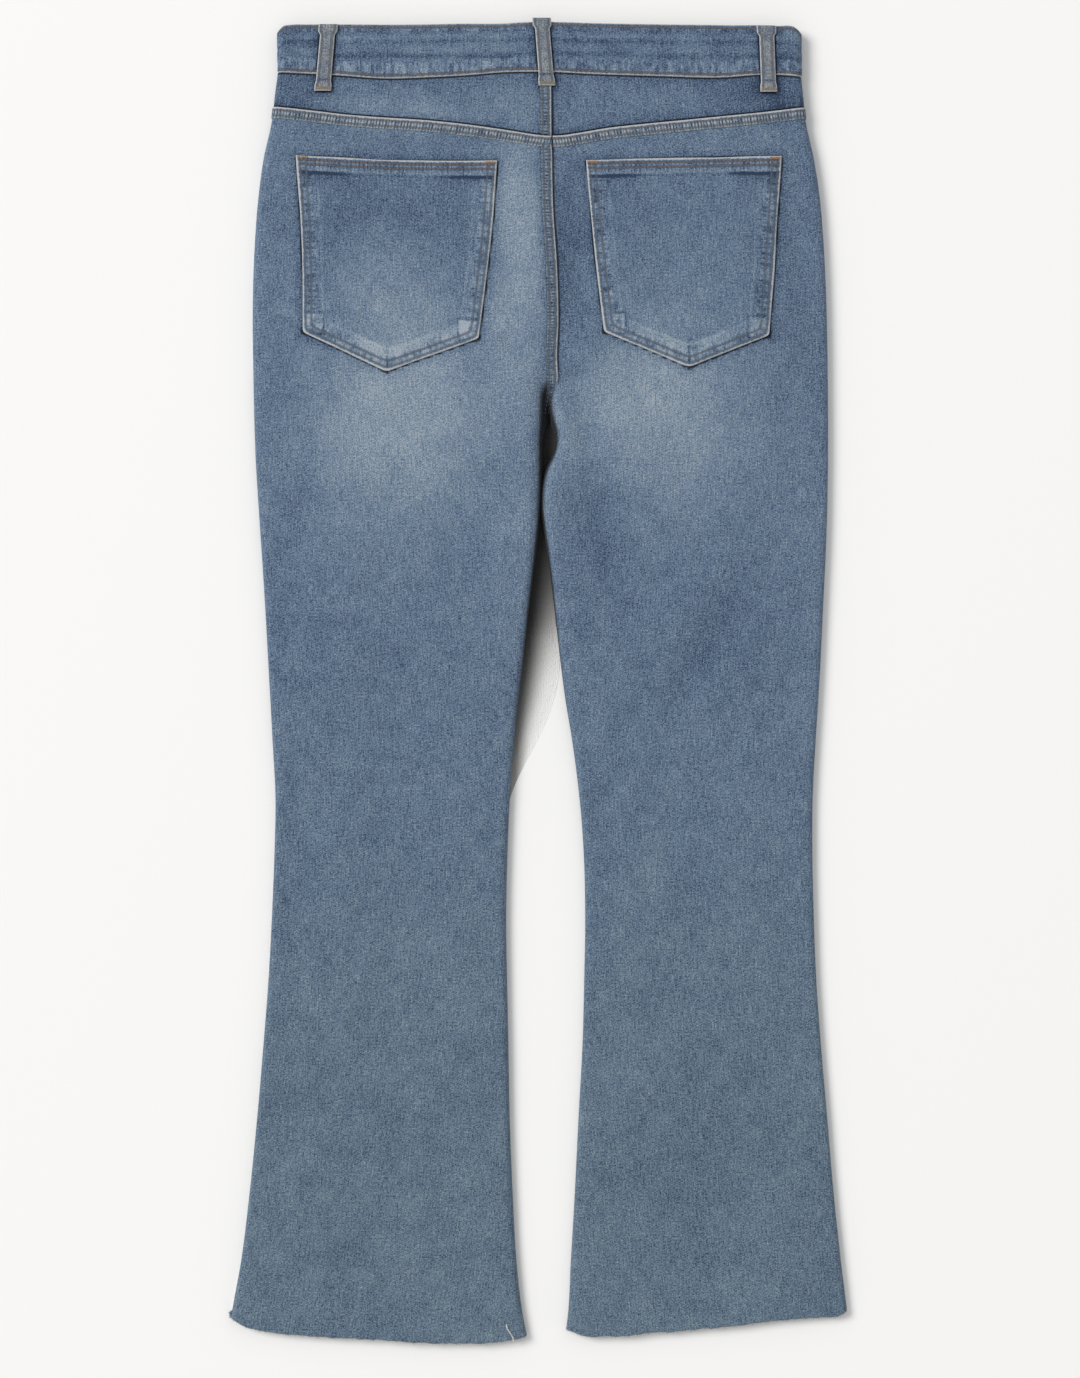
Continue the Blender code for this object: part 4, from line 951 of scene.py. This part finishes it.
def makeSeatFell(part, size):
    # the upper part is above the yoke seam, the lower one from under the yoke strip to the crotch
    stations = np.arange(0, fell["width"] + 0.01, fell["step"])[::-1]
    if part == "upper":
        lays, rows = yokeLays()[1:], None
    else:
        rows = np.arange(yokeMean + fell["width"] + gap, fell["seatEnd"], fell["seatStep"])
        lays = [legLay] * len(rows)
    grid = backGrid("left", lays, lambda length: length - stations, rows)
    across, down = grid["fromSeat"], grid["down"]
    fade = ease(down, fell["seatEnd"], fell["seatEnd"] - fell["seatFade"])
    face = fellFace("left", grid, across, fade, grid["x"] + 300)
    nearYoke = yokeAt(face[0]) - down if part == "upper" else farAway
    # towards the crotch the strip is darkened, and painted black where it dives in: painted shade
    sewCloth("cloth_seat_fell_" + part, size, face, fell["wall"], seatDenim,
             ["cloth_back_leg_left", "cloth_yoke_left"], uv=(across + 1300, down),
             masks={"fromEdge": across, "along": down, "nearYoke": nearYoke},
             paint={"fade": 0.5 * washAndFoldShade(face[0], down) - 0.08 * ease(down, 240, 300),
                    "paintedShade": 0.95 * ease(down + (across - 4) * 2.2, 292, 316)})
    return *face, across


yokeFells = [makeYokeFell(side) for side in outward]
seatFells = [makeSeatFell("upper", (0.0105, 0.06)), makeSeatFell("lower", (0.0105, 0.25))]
print("felled seams made")


def crowded(count, edge):
    # shares from 0 to 1, closer together near both ends
    t = np.linspace(0, 1, count)
    return mix(t, (1 - np.cos(math.pi * t)) / 2, edge)


def makePocket(side):
    c = {key: np.array(value) for key, value in pockets[side].items()}
    tipShare = abs(c["tip"][0] - c["lowOut"][0]) / abs(c["lowIn"][0] - c["lowOut"][0])
    # one column is moved onto the tip
    u = crowded(pocketCloth["columns"], 0.35)
    tipColumn = int(np.argmin(np.abs(u - tipShare)))
    u = np.where(np.arange(len(u)) <= tipColumn, u / u[tipColumn] * tipShare,
                 tipShare + (u - u[tipColumn]) / (1 - u[tipColumn]) * (1 - tipShare))
    share = u[:, None]
    mouth = mix(c["mouthOut"], c["mouthIn"], share)
    low = np.where(share <= tipShare, mix(c["lowOut"], c["tip"], share / tipShare),
                   mix(c["tip"], c["lowIn"], (share - tipShare) / (1 - tipShare)))
    place = mix(mouth[None], low[None], crowded(pocketCloth["rows"], 0.25)[:, None, None])
    x, down = place[..., 0], place[..., 1]
    wave = 0.5 * softNoise(x, down, 38, 47)
    x, down = x + wave * ease(np.abs(u - 0.5), 0.3, 0.5)[None], down + 0.4 * softNoise(x, down, 30, 48)
    # what lies outside the rounded corners is drawn in towards the middle
    fromEdge, _ = pocketDistances(side, *(a + b for a, b in zip((x, down), pocketPull(side, x, down))))
    toMiddle = np.stack([c["tip"][0] - x, 0.6 * c["lowOut"][1] - down])
    toMiddle = toMiddle / np.hypot(*toMiddle) * np.maximum(-fromEdge, 0) * 1.15
    toMiddle = toMiddle * ease(down, c["mouthOut"][1] + 4, c["mouthOut"][1] + 20)
    x, down = x + toMiddle[0], down + toMiddle[1]
    pullX, pullDown = pocketPull(side, x, down)
    x, down = x + pullX, down + pullDown
    fromEdge, fromMouth = pocketDistances(side, x, down)
    sewCloth("cloth_back_pocket_" + side, (0.164, 0.174), (x, down, pocketHeight(side, x, down)),
             pocketCloth["deepest"], pocketDenim, ["cloth_back_leg_" + side], "back_pocket_" + side,
             slot="pocket_denim", uv=(x + (1700 if side == "left" else 2200), down),
             masks={"fromEdge": fromEdge, "fromMouth": fromMouth, "along": pocketAlong(side, x, down)},
             paint={"fade": pocketTone(side, x, down, fromEdge, fromMouth)},
             wallShare=(pocketCloth["wall"] + pocketRelief(side, x, down)) / pocketCloth["deepest"])


for side in outward:
    makePocket(side)
print("back pockets made")


band = {"wall": 2.6, "front": 2.2, "top": 13.8, "overlap": 8.0, "underlap": 32.0, "columnStep": 1.3,
        "rows": 42, "edgeDrop": 0.9, "edgeRun": 1.6, "turnSteps": 24, "stitchRow": 2.4,
        "worn": (-75, 48, 0.14)}
# the band's two long creases, in its form and, as painted shade, in its tone: distance under the upper
# edge, its sway with the sway's cell and seed, width, strength, its steady share, its swing with that one's
# cell and seed
bandCreases = {"form": ((14.0, 1.6, 55, 51, 1.7, 0.42, 0.75, 0.5, 19, 53),
                        (25.5, 1.6, 47, 52, 1.8, 0.36, 0.7, 0.5, 23, 54)),
               "tone": ((14.2, 1.3, 55, 51, 1.8, 0.17, 0.8, 0.6, 19, 53),
                        (25.6, 1.2, 47, 52, 1.6, 0.20, 0.8, 0.6, 23, 54))}


def bandPath():
    # across the garment: x, height, and how far it has gone under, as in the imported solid
    radius = (band["top"] - band["front"]) / 2
    centre = band["top"] - radius
    lapEnd, stepUp = frontCentre + band["overlap"], band["wall"] + gap
    arc = np.linspace(0, math.pi, band["turnSteps"])
    path = [(lapEnd, band["front"], 1.0)]
    for side, way in (("left", -1), ("right", 1)):
        middle = sideAt[side](20) - way * radius
        path += [(middle + way * radius * math.sin(a), centre + way * radius * math.cos(a),
                  0.5 - way * 0.5 * math.cos(a)) for a in arc]
    path += [(lapEnd + 22 - 20 * t, band["front"] + stepUp * ease(t, 0, 1), 1.0)
             for t in (0.0, 0.15, 0.3, 0.5, 0.7, 0.85, 1.0)]
    path = np.array(path + [(frontCentre - band["underlap"], band["front"] + stepUp, 1.0)])
    along = lengthAlong(path[:, :2])
    wanted = np.linspace(0, along[-1], int(along[-1] / band["columnStep"]))
    return [np.interp(wanted, along, path[:, k]) for k in range(3)] + [wanted]


def bandCrease(kind, along, fromUpper):
    total = 0.0
    for middle, sway, swayCell, swaySeed, width, strength, steady, swing, cell, seed in bandCreases[kind]:
        line = middle + sway * lineNoise(along, swayCell, swaySeed)
        depth = strength * bell(fromUpper, line, width)
        total = total + depth * (steady + swing * lineNoise(along, cell, seed))
    return total


def bandRelief(along, fromUpper, fromLower):
    run = band["edgeRun"]
    drop = band["edgeDrop"] * (2 - ease(fromUpper, 0, run) - ease(fromLower, 0, run))
    ribs = softNoise(along, fromLower * 0.30, 2.4, 55)
    ribs = ribs * (0.16 * (1 - ease(fromLower, 8, 14)) + 0.10 * (1 - ease(fromUpper, 6, 11)) + 0.03)
    seam = 0.25 * sum(bell(far, band["stitchRow"], 0.6) for far in (fromLower, fromUpper))
    soft = 0.30 * softNoise(along, fromUpper, 21, 56)
    return ribs - drop - bandCrease("form", along, fromUpper) - seam + soft


def bandTone(along, fromUpper, fromLower):
    # painted shade in the creases along the band, and paler cloth between them
    tone = 0.07 * bell(fromUpper, 10.5, 2.6) + 0.05 * bell(fromUpper, 20, 3.0)
    tone = tone - bandCrease("tone", along, fromUpper)
    tone = tone - 0.10 * bell(fromUpper, 6.2, 2.0) * (0.6 + 1.4 * lineNoise(along, 9, 57))
    tone = tone + 0.10 * ease(fromLower, 14.5, 11) * ease(fromLower, 1.5, 4)
    tone = tone + 0.09 * softNoise(along * 0.35, fromUpper, 5.0, 58)
    return tone + 0.06 * (softNoise(along, fromUpper, 26, 59) + lineNoise(along, 15, 60))


def makeBand():
    x, height, under, along = (np.tile(value, (band["rows"], 1)) for value in bandPath())
    t = crowded(band["rows"], 0.3)[:, None]
    down = mix(waistAt(x), bandAt(x), t) + (frontWaist(x) - bandAt(x)) * under
    fromUpper, fromLower = t * (bandAt(x) - waistAt(x)), (1 - t) * (bandAt(x) - waistAt(x))
    relief = bandRelief(along, fromUpper, fromLower)
    tangentX, tangentZ = np.gradient(x, axis=1), np.gradient(height, axis=1)
    length = np.hypot(tangentX, tangentZ)
    x, z = x - tangentZ / length * (relief + np.abs(tangentZ) / length), height + tangentX / length * relief
    wornX, wornWidth, worn = band["worn"]
    sewCloth("cloth_waistband", (0.91, 0.044), (x, down, z), band["wall"], bandDenim,
             ["cloth_yoke_left", "cloth_yoke_right"], "waistband", slot="band_denim",
             uv=(along + 3000, down),
             masks={"fromUpper": fromUpper, "fromLower": fromLower, "along": along,
                    "nearLoop": nearLoops(x, down) + farAway * ease(under, 0.2, 0.5)},
             paint={"fade": bandTone(along, fromUpper, fromLower) + worn * bell(x, wornX, wornWidth)},
             wallShare=np.clip((band["wall"] + relief) / band["wall"], 0.3, 1.0))
    return x, down, z, fromUpper, fromLower


bandFace = makeBand()
print("waistband made")


loopCloth = {"wall": 1.8, "rows": 84, "columns": 19, "stitchRow": 2.0, "edgeDrop": 0.75, "edgeRun": 1.3,
             "endDrop": 0.6, "endRun": 1.4, "cap": 0.30, "foot": 0.12, "tackUp": 9}


def loopFace(spec, t, share):
    # a belt loop's outer face: t runs from its upper to its lower end, share from -1 to 1 across
    xTop, downTop, xLow, downLow, widthTop, widthLow = spec
    broad = 1 + loopCloth["cap"] * ease(t, 0.17, 0.10) + loopCloth["foot"] * ease(t, 0.84, 0.92)
    half = mix(widthTop, widthLow, t) / 2 * broad
    x, down = mix(xTop, xLow, t) + half * share, mix(downTop, downLow, t) + 0 * share
    fromEdge, length = half * (1 - np.abs(share)), downLow - downTop
    fromEnd, fromTop = (1 - t) * length, t * length
    drop = loopCloth["edgeDrop"] * (1 - ease(fromEdge, 0, loopCloth["edgeRun"]))
    for far in (fromEnd, fromTop):
        drop = drop + loopCloth["endDrop"] * (1 - ease(far, 0, loopCloth["endRun"]))
    seam = 0.22 * bell(fromEdge, loopCloth["stitchRow"], 0.55)
    ribs = 0.12 * softNoise(x * 0.4, down, 2.3, 61 + int(abs(xTop))) + 0.10 * softNoise(x, down, 6, 62)
    return x, down, fromEdge, fromEnd, ribs - drop - seam


def loopHeight(x, down):
    # over the band's edge at the top, and down onto the yoke at the foot
    foot = float(sideLoft(46)) + fell["rise"]
    base = mix(band["top"], foot, ease(down, bandAt(x) + 0.6, bandAt(x) + 6.6))
    return gap + base - 0.5 * np.maximum(waistAt(x) - 1.0 - down, 0.0) + loopCloth["wall"]


def makeLoop(name, spec, under=False):
    t = crowded(loopCloth["rows"], 0.2)[:, None]
    share = crowded(loopCloth["columns"], 0.4)[None, :] * 2 - 1
    x, down, fromEdge, fromEnd, relief = loopFace(spec, t, share)
    wall, tack = loopCloth["wall"], loopCloth["tackUp"]
    z = wall + 0 * x if under else loopHeight(x, down) + relief
    tone = 0.10 * softNoise(x * 0.5, down, 4, 64) + 0.10 * ease(fromEnd, tack, 5)
    tone = tone - 0.4 * bell(fromEnd, tack, 0.9)
    sewCloth("cloth_" + name, (0.0134, 0.056), (x, down, z), wall, loopDenim, ["cloth_waistband"], name,
             slot="loop_denim", uv=(x + 2700, down), paint={"fade": tone},
             masks={"fromEdge": np.minimum(fromEdge, fromEnd), "along": down},
             wallShare=None if under else (wall + relief) / wall)


for side, spec in backLoops.items():
    makeLoop("belt_loop_back_" + side, spec)
for side, spec in frontLoops.items():
    makeLoop("belt_loop_front_" + side, spec, under=True)
print("belt loops made")


# section: r and z from the middle of the button's outer face round to the middle of its back
button = {"section": [(0.0, 0.55), (2.2, 0.5), (2.9, 0.2), (3.8, 0.15), (4.4, 0.5), (6.2, 0.55),
                      (6.8, 0.12), (7.5, 0.0), (8.15, 0.12), (8.5, 0.6), (8.4, 1.3), (7.8, 1.8),
                      (0.0, 1.8)],
          "turns": 64, "beads": 28, "beadRing": 5.3, "beadRadius": 0.34, "beadHeight": 0.55}


def makeButton():
    bm = bmesh.new()
    verts = [bm.verts.new((r * mm, 0, z * mm)) for r, z in button["section"]]
    edges = [bm.edges.new(pair) for pair in zip(verts, verts[1:])]
    bmesh.ops.spin(bm, geom=verts + edges, cent=(0, 0, 0), axis=(0, 0, 1), angle=2 * math.pi,
                   steps=button["turns"], use_merge=True)
    bmesh.ops.remove_doubles(bm, verts=bm.verts, dist=1e-6)
    bmesh.ops.recalc_face_normals(bm, faces=bm.faces)
    for i in range(button["beads"]):
        angle, ring = 2 * math.pi * i / button["beads"], button["beadRing"]
        place = Vector((ring * math.cos(angle), ring * math.sin(angle), button["beadHeight"])) * mm
        bmesh.ops.create_uvsphere(bm, u_segments=8, v_segments=6, radius=button["beadRadius"] * mm,
                                  matrix=Matrix.Translation(place))
    down = mix(float(waistAt(frontCentre)), float(bandAt(frontCentre)), 0.5) + garment["frontDip"]
    bmesh.ops.translate(bm, verts=bm.verts, vec=(frontCentre * mm, (topY - down) * mm, 0))
    mesh = finishMesh(bm, "metal_waist_button", buttonBrass)
    mesh.set_sharp_from_angle(angle=math.radians(50))
    dressPiece(placePiece(mesh), "button_brass", "waist_button")


makeButton()
print("button made")


thread = {"length": 2.4, "pitch": 3.2, "radius": 0.30, "sunk": 0.02, "flatness": 0.8, "group": 50}
tackThread = {"pitch": 0.95, "radius": 0.24}


def pathPoints(points, step):
    # even places and directions along a path of (x, down, z)
    points = np.array(points, float)
    along = lengthAlong(points)
    places = np.arange(step / 2, along[-1], step)

    def at(where):
        return np.stack([np.interp(where, along, points[:, k]) for k in range(3)], -1)
    return at(places), at(places + 0.4) - at(places - 0.4)


def placedAlong(middle, way, sizes):
    # puts a small shape at a place, its long axis along a way, both as (x, down, z)
    place = Vector((middle[0], topY - middle[1], middle[2])) * mm
    turned = Vector((way[0], -way[1], way[2])).to_track_quat("Z", "Y").to_matrix().to_4x4()
    return Matrix.Translation(place) @ turned @ Matrix.Diagonal([size * mm for size in sizes] + [1.0])


def oneStitch(bm, place):
    bmesh.ops.create_uvsphere(bm, u_segments=6, v_segments=4, radius=1.0, matrix=place)


def oneFibre(bm, place):
    bmesh.ops.create_cone(bm, segments=3, radius1=1.0, radius2=0.4, depth=2.0, matrix=place)


def joinMany(name, places, shape, material, slot="denim"):
    # small groups are made first, because adding to a big mesh is slow
    whole, group = bmesh.new(), bpy.data.meshes.new(name + "_group")
    for start in range(0, len(places), thread["group"]):
        bm = bmesh.new()
        for place in places[start:start + thread["group"]]:
            shape(bm, place)
        bm.to_mesh(group)
        bm.free()
        whole.from_mesh(group)
    bpy.data.meshes.remove(group)
    dressPiece(placePiece(finishMesh(whole, name, threads[material])), slot)


def makeStitches(name, paths, material, slot="denim", **changes):
    size = {**thread, **changes}
    rng = random.Random(len(name) * 7 + len(paths))
    places = []
    for points in paths:
        for middle, way in zip(*pathPoints(points, size["pitch"])):
            radius = size["radius"] * rng.uniform(0.9, 1.12)
            sizes = (radius, radius * size["flatness"], size["length"] / 2 * rng.uniform(0.93, 1.05))
            places.append(placedAlong(middle - (0, 0, size["sunk"]), way, sizes))
    joinMany(name, places, oneStitch, material, slot)


def gridLine(face, values, wanted):
    # the line on a grid where a value kept at its points is the wanted one, a place for each column
    line = []
    for j in range(values.shape[1]):
        order = np.argsort(values[:, j])
        line.append([np.interp(wanted, values[order, j], part[order, j]) for part in face])
    return line


def stitchFells():
    paths = [gridLine(face, across, row) for *face, across in yokeFells for row in fell["rows"]]
    makeStitches("thread_yoke", paths, "greyThread", length=1.9, pitch=2.5)
    paths = [gridLine([part.T for part in face], across.T, row)
             for *face, across in seatFells for row in fell["rows"]]
    makeStitches("thread_seat", paths, "duskThread")


def insetRing(corners, inset):
    # an open path moved in from its own line, its corners kept sharp
    corners = [np.array(corner) for corner in corners]
    middle = np.mean(corners, axis=0)
    lines = []
    for a, b in zip(corners, corners[1:]):
        way = unit(b - a)
        normal = np.array([-way[1], way[0]])
        lines.append((a + normal * math.copysign(inset, np.dot(normal, middle - a)), way))
    path = [lines[0][0]]
    for (p, u), (q, v) in zip(lines, lines[1:]):
        path.append(p + u * np.linalg.solve(np.array([u, -v]).T, q - p)[0])
    p, u = lines[-1]
    return path + [p + u * np.linalg.norm(corners[-1] - corners[-2])]


def denser(path):
    # a place about every millimetre
    dense = []
    for a, b in zip(path, path[1:]):
        count = max(int(np.linalg.norm(b - a)), 1)
        dense += [mix(a, b, i / count) for i in range(count)]
    return np.array(dense + [path[-1]])


def stitchPockets():
    sideRows, mouthRows = [], []
    for side in outward:
        ring = pocketRing(side)
        start, end = np.array(ring[0]), np.array(ring[-1])
        way = unit(end - start) * 3
        below = [[start + way + (0, row), end - way + (0, row)] for row in pocketCloth["hemRows"]]
        around = [insetRing(ring, row) for row in pocketCloth["edgeRows"]]
        for rows, paths in ((sideRows, around), (mouthRows, below)):
            for path in paths:
                path = denser(path)
                path = path + np.stack(pocketPull(side, path[:, 0], path[:, 1]), -1)
                rows.append(np.column_stack([path, pocketHeight(side, path[:, 0], path[:, 1])]))
    makeStitches("thread_pocket_sides", sideRows, "duskThread", "pocket_denim")
    makeStitches("thread_pocket_mouths", mouthRows, "greyThread", "pocket_denim", radius=0.40)


def stitchBand():
    paths = [gridLine(bandFace[:3], values, band["stitchRow"]) for values in bandFace[3:]]
    makeStitches("thread_waistband", paths, "greyThread", "band_denim", radius=0.38)


def stitchLoops():
    paths, tacks = [], []
    for spec in backLoops.values():
        half = (spec[4] + spec[5]) / 4
        for share in (-1, 1):
            x, down, _, _, relief = loopFace(spec, np.linspace(0.02, 0.98, 60),
                                             share * (1 - loopCloth["stitchRow"] / half))
            paths.append(np.column_stack([x, down, loopHeight(x, down) + relief]))
        for t in (0.945, 0.955, 0.965, 0.975):
            x, down, _, _, relief = loopFace(spec, np.full(12, t), np.linspace(-0.82, 0.82, 12))
            tacks.append(np.column_stack([x, down, loopHeight(x, down) + relief + 0.1]))
    makeStitches("thread_loops", paths, "greyThread", "loop_denim")
    makeStitches("bartacks_loops", tacks, "tanThread", "loop_denim", length=1.9, **tackThread)


def stitchPocketCorners():
    tacks = []
    for side, out in outward.items():
        for key, way in (("mouthOut", -out), ("mouthIn", out)):
            cornerX, cornerDown = pockets[side][key]
            for row in (0.9, 1.5, 2.1):
                x = np.linspace(cornerX + way * 1.0, cornerX + way * 9.5, 10)
                down = np.full(10, cornerDown + row)
                tacks.append(np.column_stack([x, down, pocketHeight(side, x, down) + 0.15]))
    makeStitches("bartacks_pockets", tacks, "goldThread", "pocket_denim", length=1.7, **tackThread)


frontRows = {"scoop": (1.6, 6.4), "fly": (0.0, 5.0), "flyReach": 34.0, "flyTop": 70.0, "flyTurn": 160.0,
             "flyDrop": 36.0, "above": 0.10}


def stitchFronts():
    # the rows under the hip pocket openings and the curved rows beside the fly
    flat = []
    for side, out in outward.items():
        corner = frontOuter(side, frontTop[side] + front["scoopDepth"])
        angle = np.linspace(0.08, math.pi / 2 - 0.05, 60)
        flat += [(corner - out * (front["scoopWidth"] + inset) * np.cos(angle),
                  frontTop[side] + (front["scoopDepth"] + inset) * np.sin(angle))
                 for inset in frontRows["scoop"]]
    turn = np.linspace(0, math.pi / 2, 20)
    for inset in frontRows["fly"]:
        reach = frontRows["flyReach"] - inset
        curve = frontRows["flyTurn"] + (frontRows["flyDrop"] - inset) * np.sin(turn)
        flat.append((frontCentre - np.concatenate([np.full(30, reach), reach * np.cos(turn)]),
                     np.concatenate([np.linspace(frontRows["flyTop"], frontRows["flyTurn"], 30), curve])))
    paths = [np.column_stack([x, down, frontHeight(down) + frontRows["above"]]) for x, down in flat]
    makeStitches("thread_fronts", paths, "tanThread")


fuzz = {"count": 520, "radius": 0.10, "short": 0.5, "long": 1.8, "weftShare": 0.35,
        "loose": [(-26.4, 1045.4), (-25.6, 1048.6), (-23.4, 1052.0), (-21.2, 1055.6), (-20.6, 1060.0)],
        "looseStep": 0.8, "looseSizes": (0.95, 0.5, 0.75), "looseLift": 1.5}
nub = {"x": -246.6, "down": 1037.6, "height": 3.6, "size": 3.6, "count": 90, "radius": 0.34,
       "weftShare": 0.15, "spread": (("x", 0.9), ("down", 1.2), ("height", 0.8))}


def fuzzHems():
    # loose yarn ends at the raw hems, a knot of them at one corner and one pulled thread
    rng = random.Random(11)
    warp, weft = [], []
    for line in hemLines.values():
        for _ in range(fuzz["count"]):
            at = rng.uniform(4, len(line) - 5)
            base = mix(line[int(at)], line[int(at) + 1], at % 1)
            base = base + (0, rng.uniform(-0.5, 0.1), rng.uniform(-0.5, 0.5))
            length = fuzz["short"] + fuzz["long"] * rng.random() ** 4
            way = unit(np.array([rng.gauss(0, 0.5), 1.0, rng.gauss(-0.1, 0.3)]))
            radius = fuzz["radius"] * rng.uniform(0.7, 1.5)
            place = placedAlong(base + way * length / 2, way, (radius, radius, length / 2))
            (weft if rng.random() < fuzz["weftShare"] else warp).append(place)
    for _ in range(nub["count"]):
        base = [nub[key] + rng.gauss(0, far) for key, far in nub["spread"]]
        way = unit(np.array([rng.gauss(-0.5, 0.8), rng.gauss(0.3, 0.8), rng.gauss(0, 0.35)]))
        length = nub["size"] * rng.uniform(0.35, 0.8)
        place = placedAlong(base, way, (nub["radius"], nub["radius"], length / 2))
        (weft if rng.random() < nub["weftShare"] else warp).append(place)
    hemX, _, hemZ = hemLines["left"].T
    path = [(x, down, float(np.interp(x, hemX, hemZ)) + fuzz["looseLift"]) for x, down in fuzz["loose"]]
    weft += [placedAlong(*spot, fuzz["looseSizes"]) for spot in zip(*pathPoints(path, fuzz["looseStep"]))]
    joinMany("fuzz_warp", warp, oneFibre, "rawYarn")
    joinMany("fuzz_weft", weft, oneFibre, "rawWeft")


for make in (fuzzHems, stitchFronts, stitchFells, stitchPockets, stitchBand, stitchLoops,
             stitchPocketCorners):
    make()
print("thread made")


studio = {"cameraHeight": 3.072, "aim": (0.0004, -0.0064), "lens": 100.0, "floor": 6.0, "floorDrop": 0.0002,
          "paper": (0.93, 0.93, 0.925, 1), "light": (-13.4, 6.35, 14.2), "lightSize": 10.6,
          "lightPower": 2842.0, "lightColour": (1.0, 0.985, 0.96), "worldStrength": 0.56}


def makeStage():
    paper, _ = newMaterial("palePaper", {"Base Color": studio["paper"], "Roughness": 0.9})
    bm = bmesh.new()
    bmesh.ops.create_grid(bm, x_segments=1, y_segments=1, size=studio["floor"])
    bmesh.ops.translate(bm, verts=bm.verts, vec=(0, 0, -studio["floorDrop"]))
    placePiece(finishMesh(bm, "paleFloor", paper))


def makeLight():
    lamp = bpy.data.lights.new("keyLight", "AREA")
    lamp.shape = "DISK"
    lamp.size = studio["lightSize"]
    lamp.energy = studio["lightPower"]
    lamp.color = studio["lightColour"]
    made = bpy.data.objects.new("keyLight", lamp)
    made.location = studio["light"]
    made.rotation_euler = (-Vector(studio["light"])).to_track_quat("-Z", "Y").to_euler()
    bpy.context.scene.collection.objects.link(made)
    world = bpy.data.worlds.new("studioWorld")
    world.use_nodes = True
    world.node_tree.nodes["Background"].inputs["Color"].default_value = (1.0, 1.0, 1.0, 1.0)
    world.node_tree.nodes["Background"].inputs["Strength"].default_value = studio["worldStrength"]
    bpy.context.scene.world = world
    bpy.context.scene.view_settings.view_transform = "Standard"


def makeCamera():
    camera = bpy.data.objects.new("photoCamera", bpy.data.cameras.new("photoCamera"))
    camera.data.lens = studio["lens"]
    camera.data.sensor_width = 36.0
    camera.location = (*studio["aim"], studio["cameraHeight"])
    bpy.context.scene.collection.objects.link(camera)
    bpy.context.scene.camera = camera


makeStage()
makeLight()
makeCamera()
print("floor, light and camera placed")
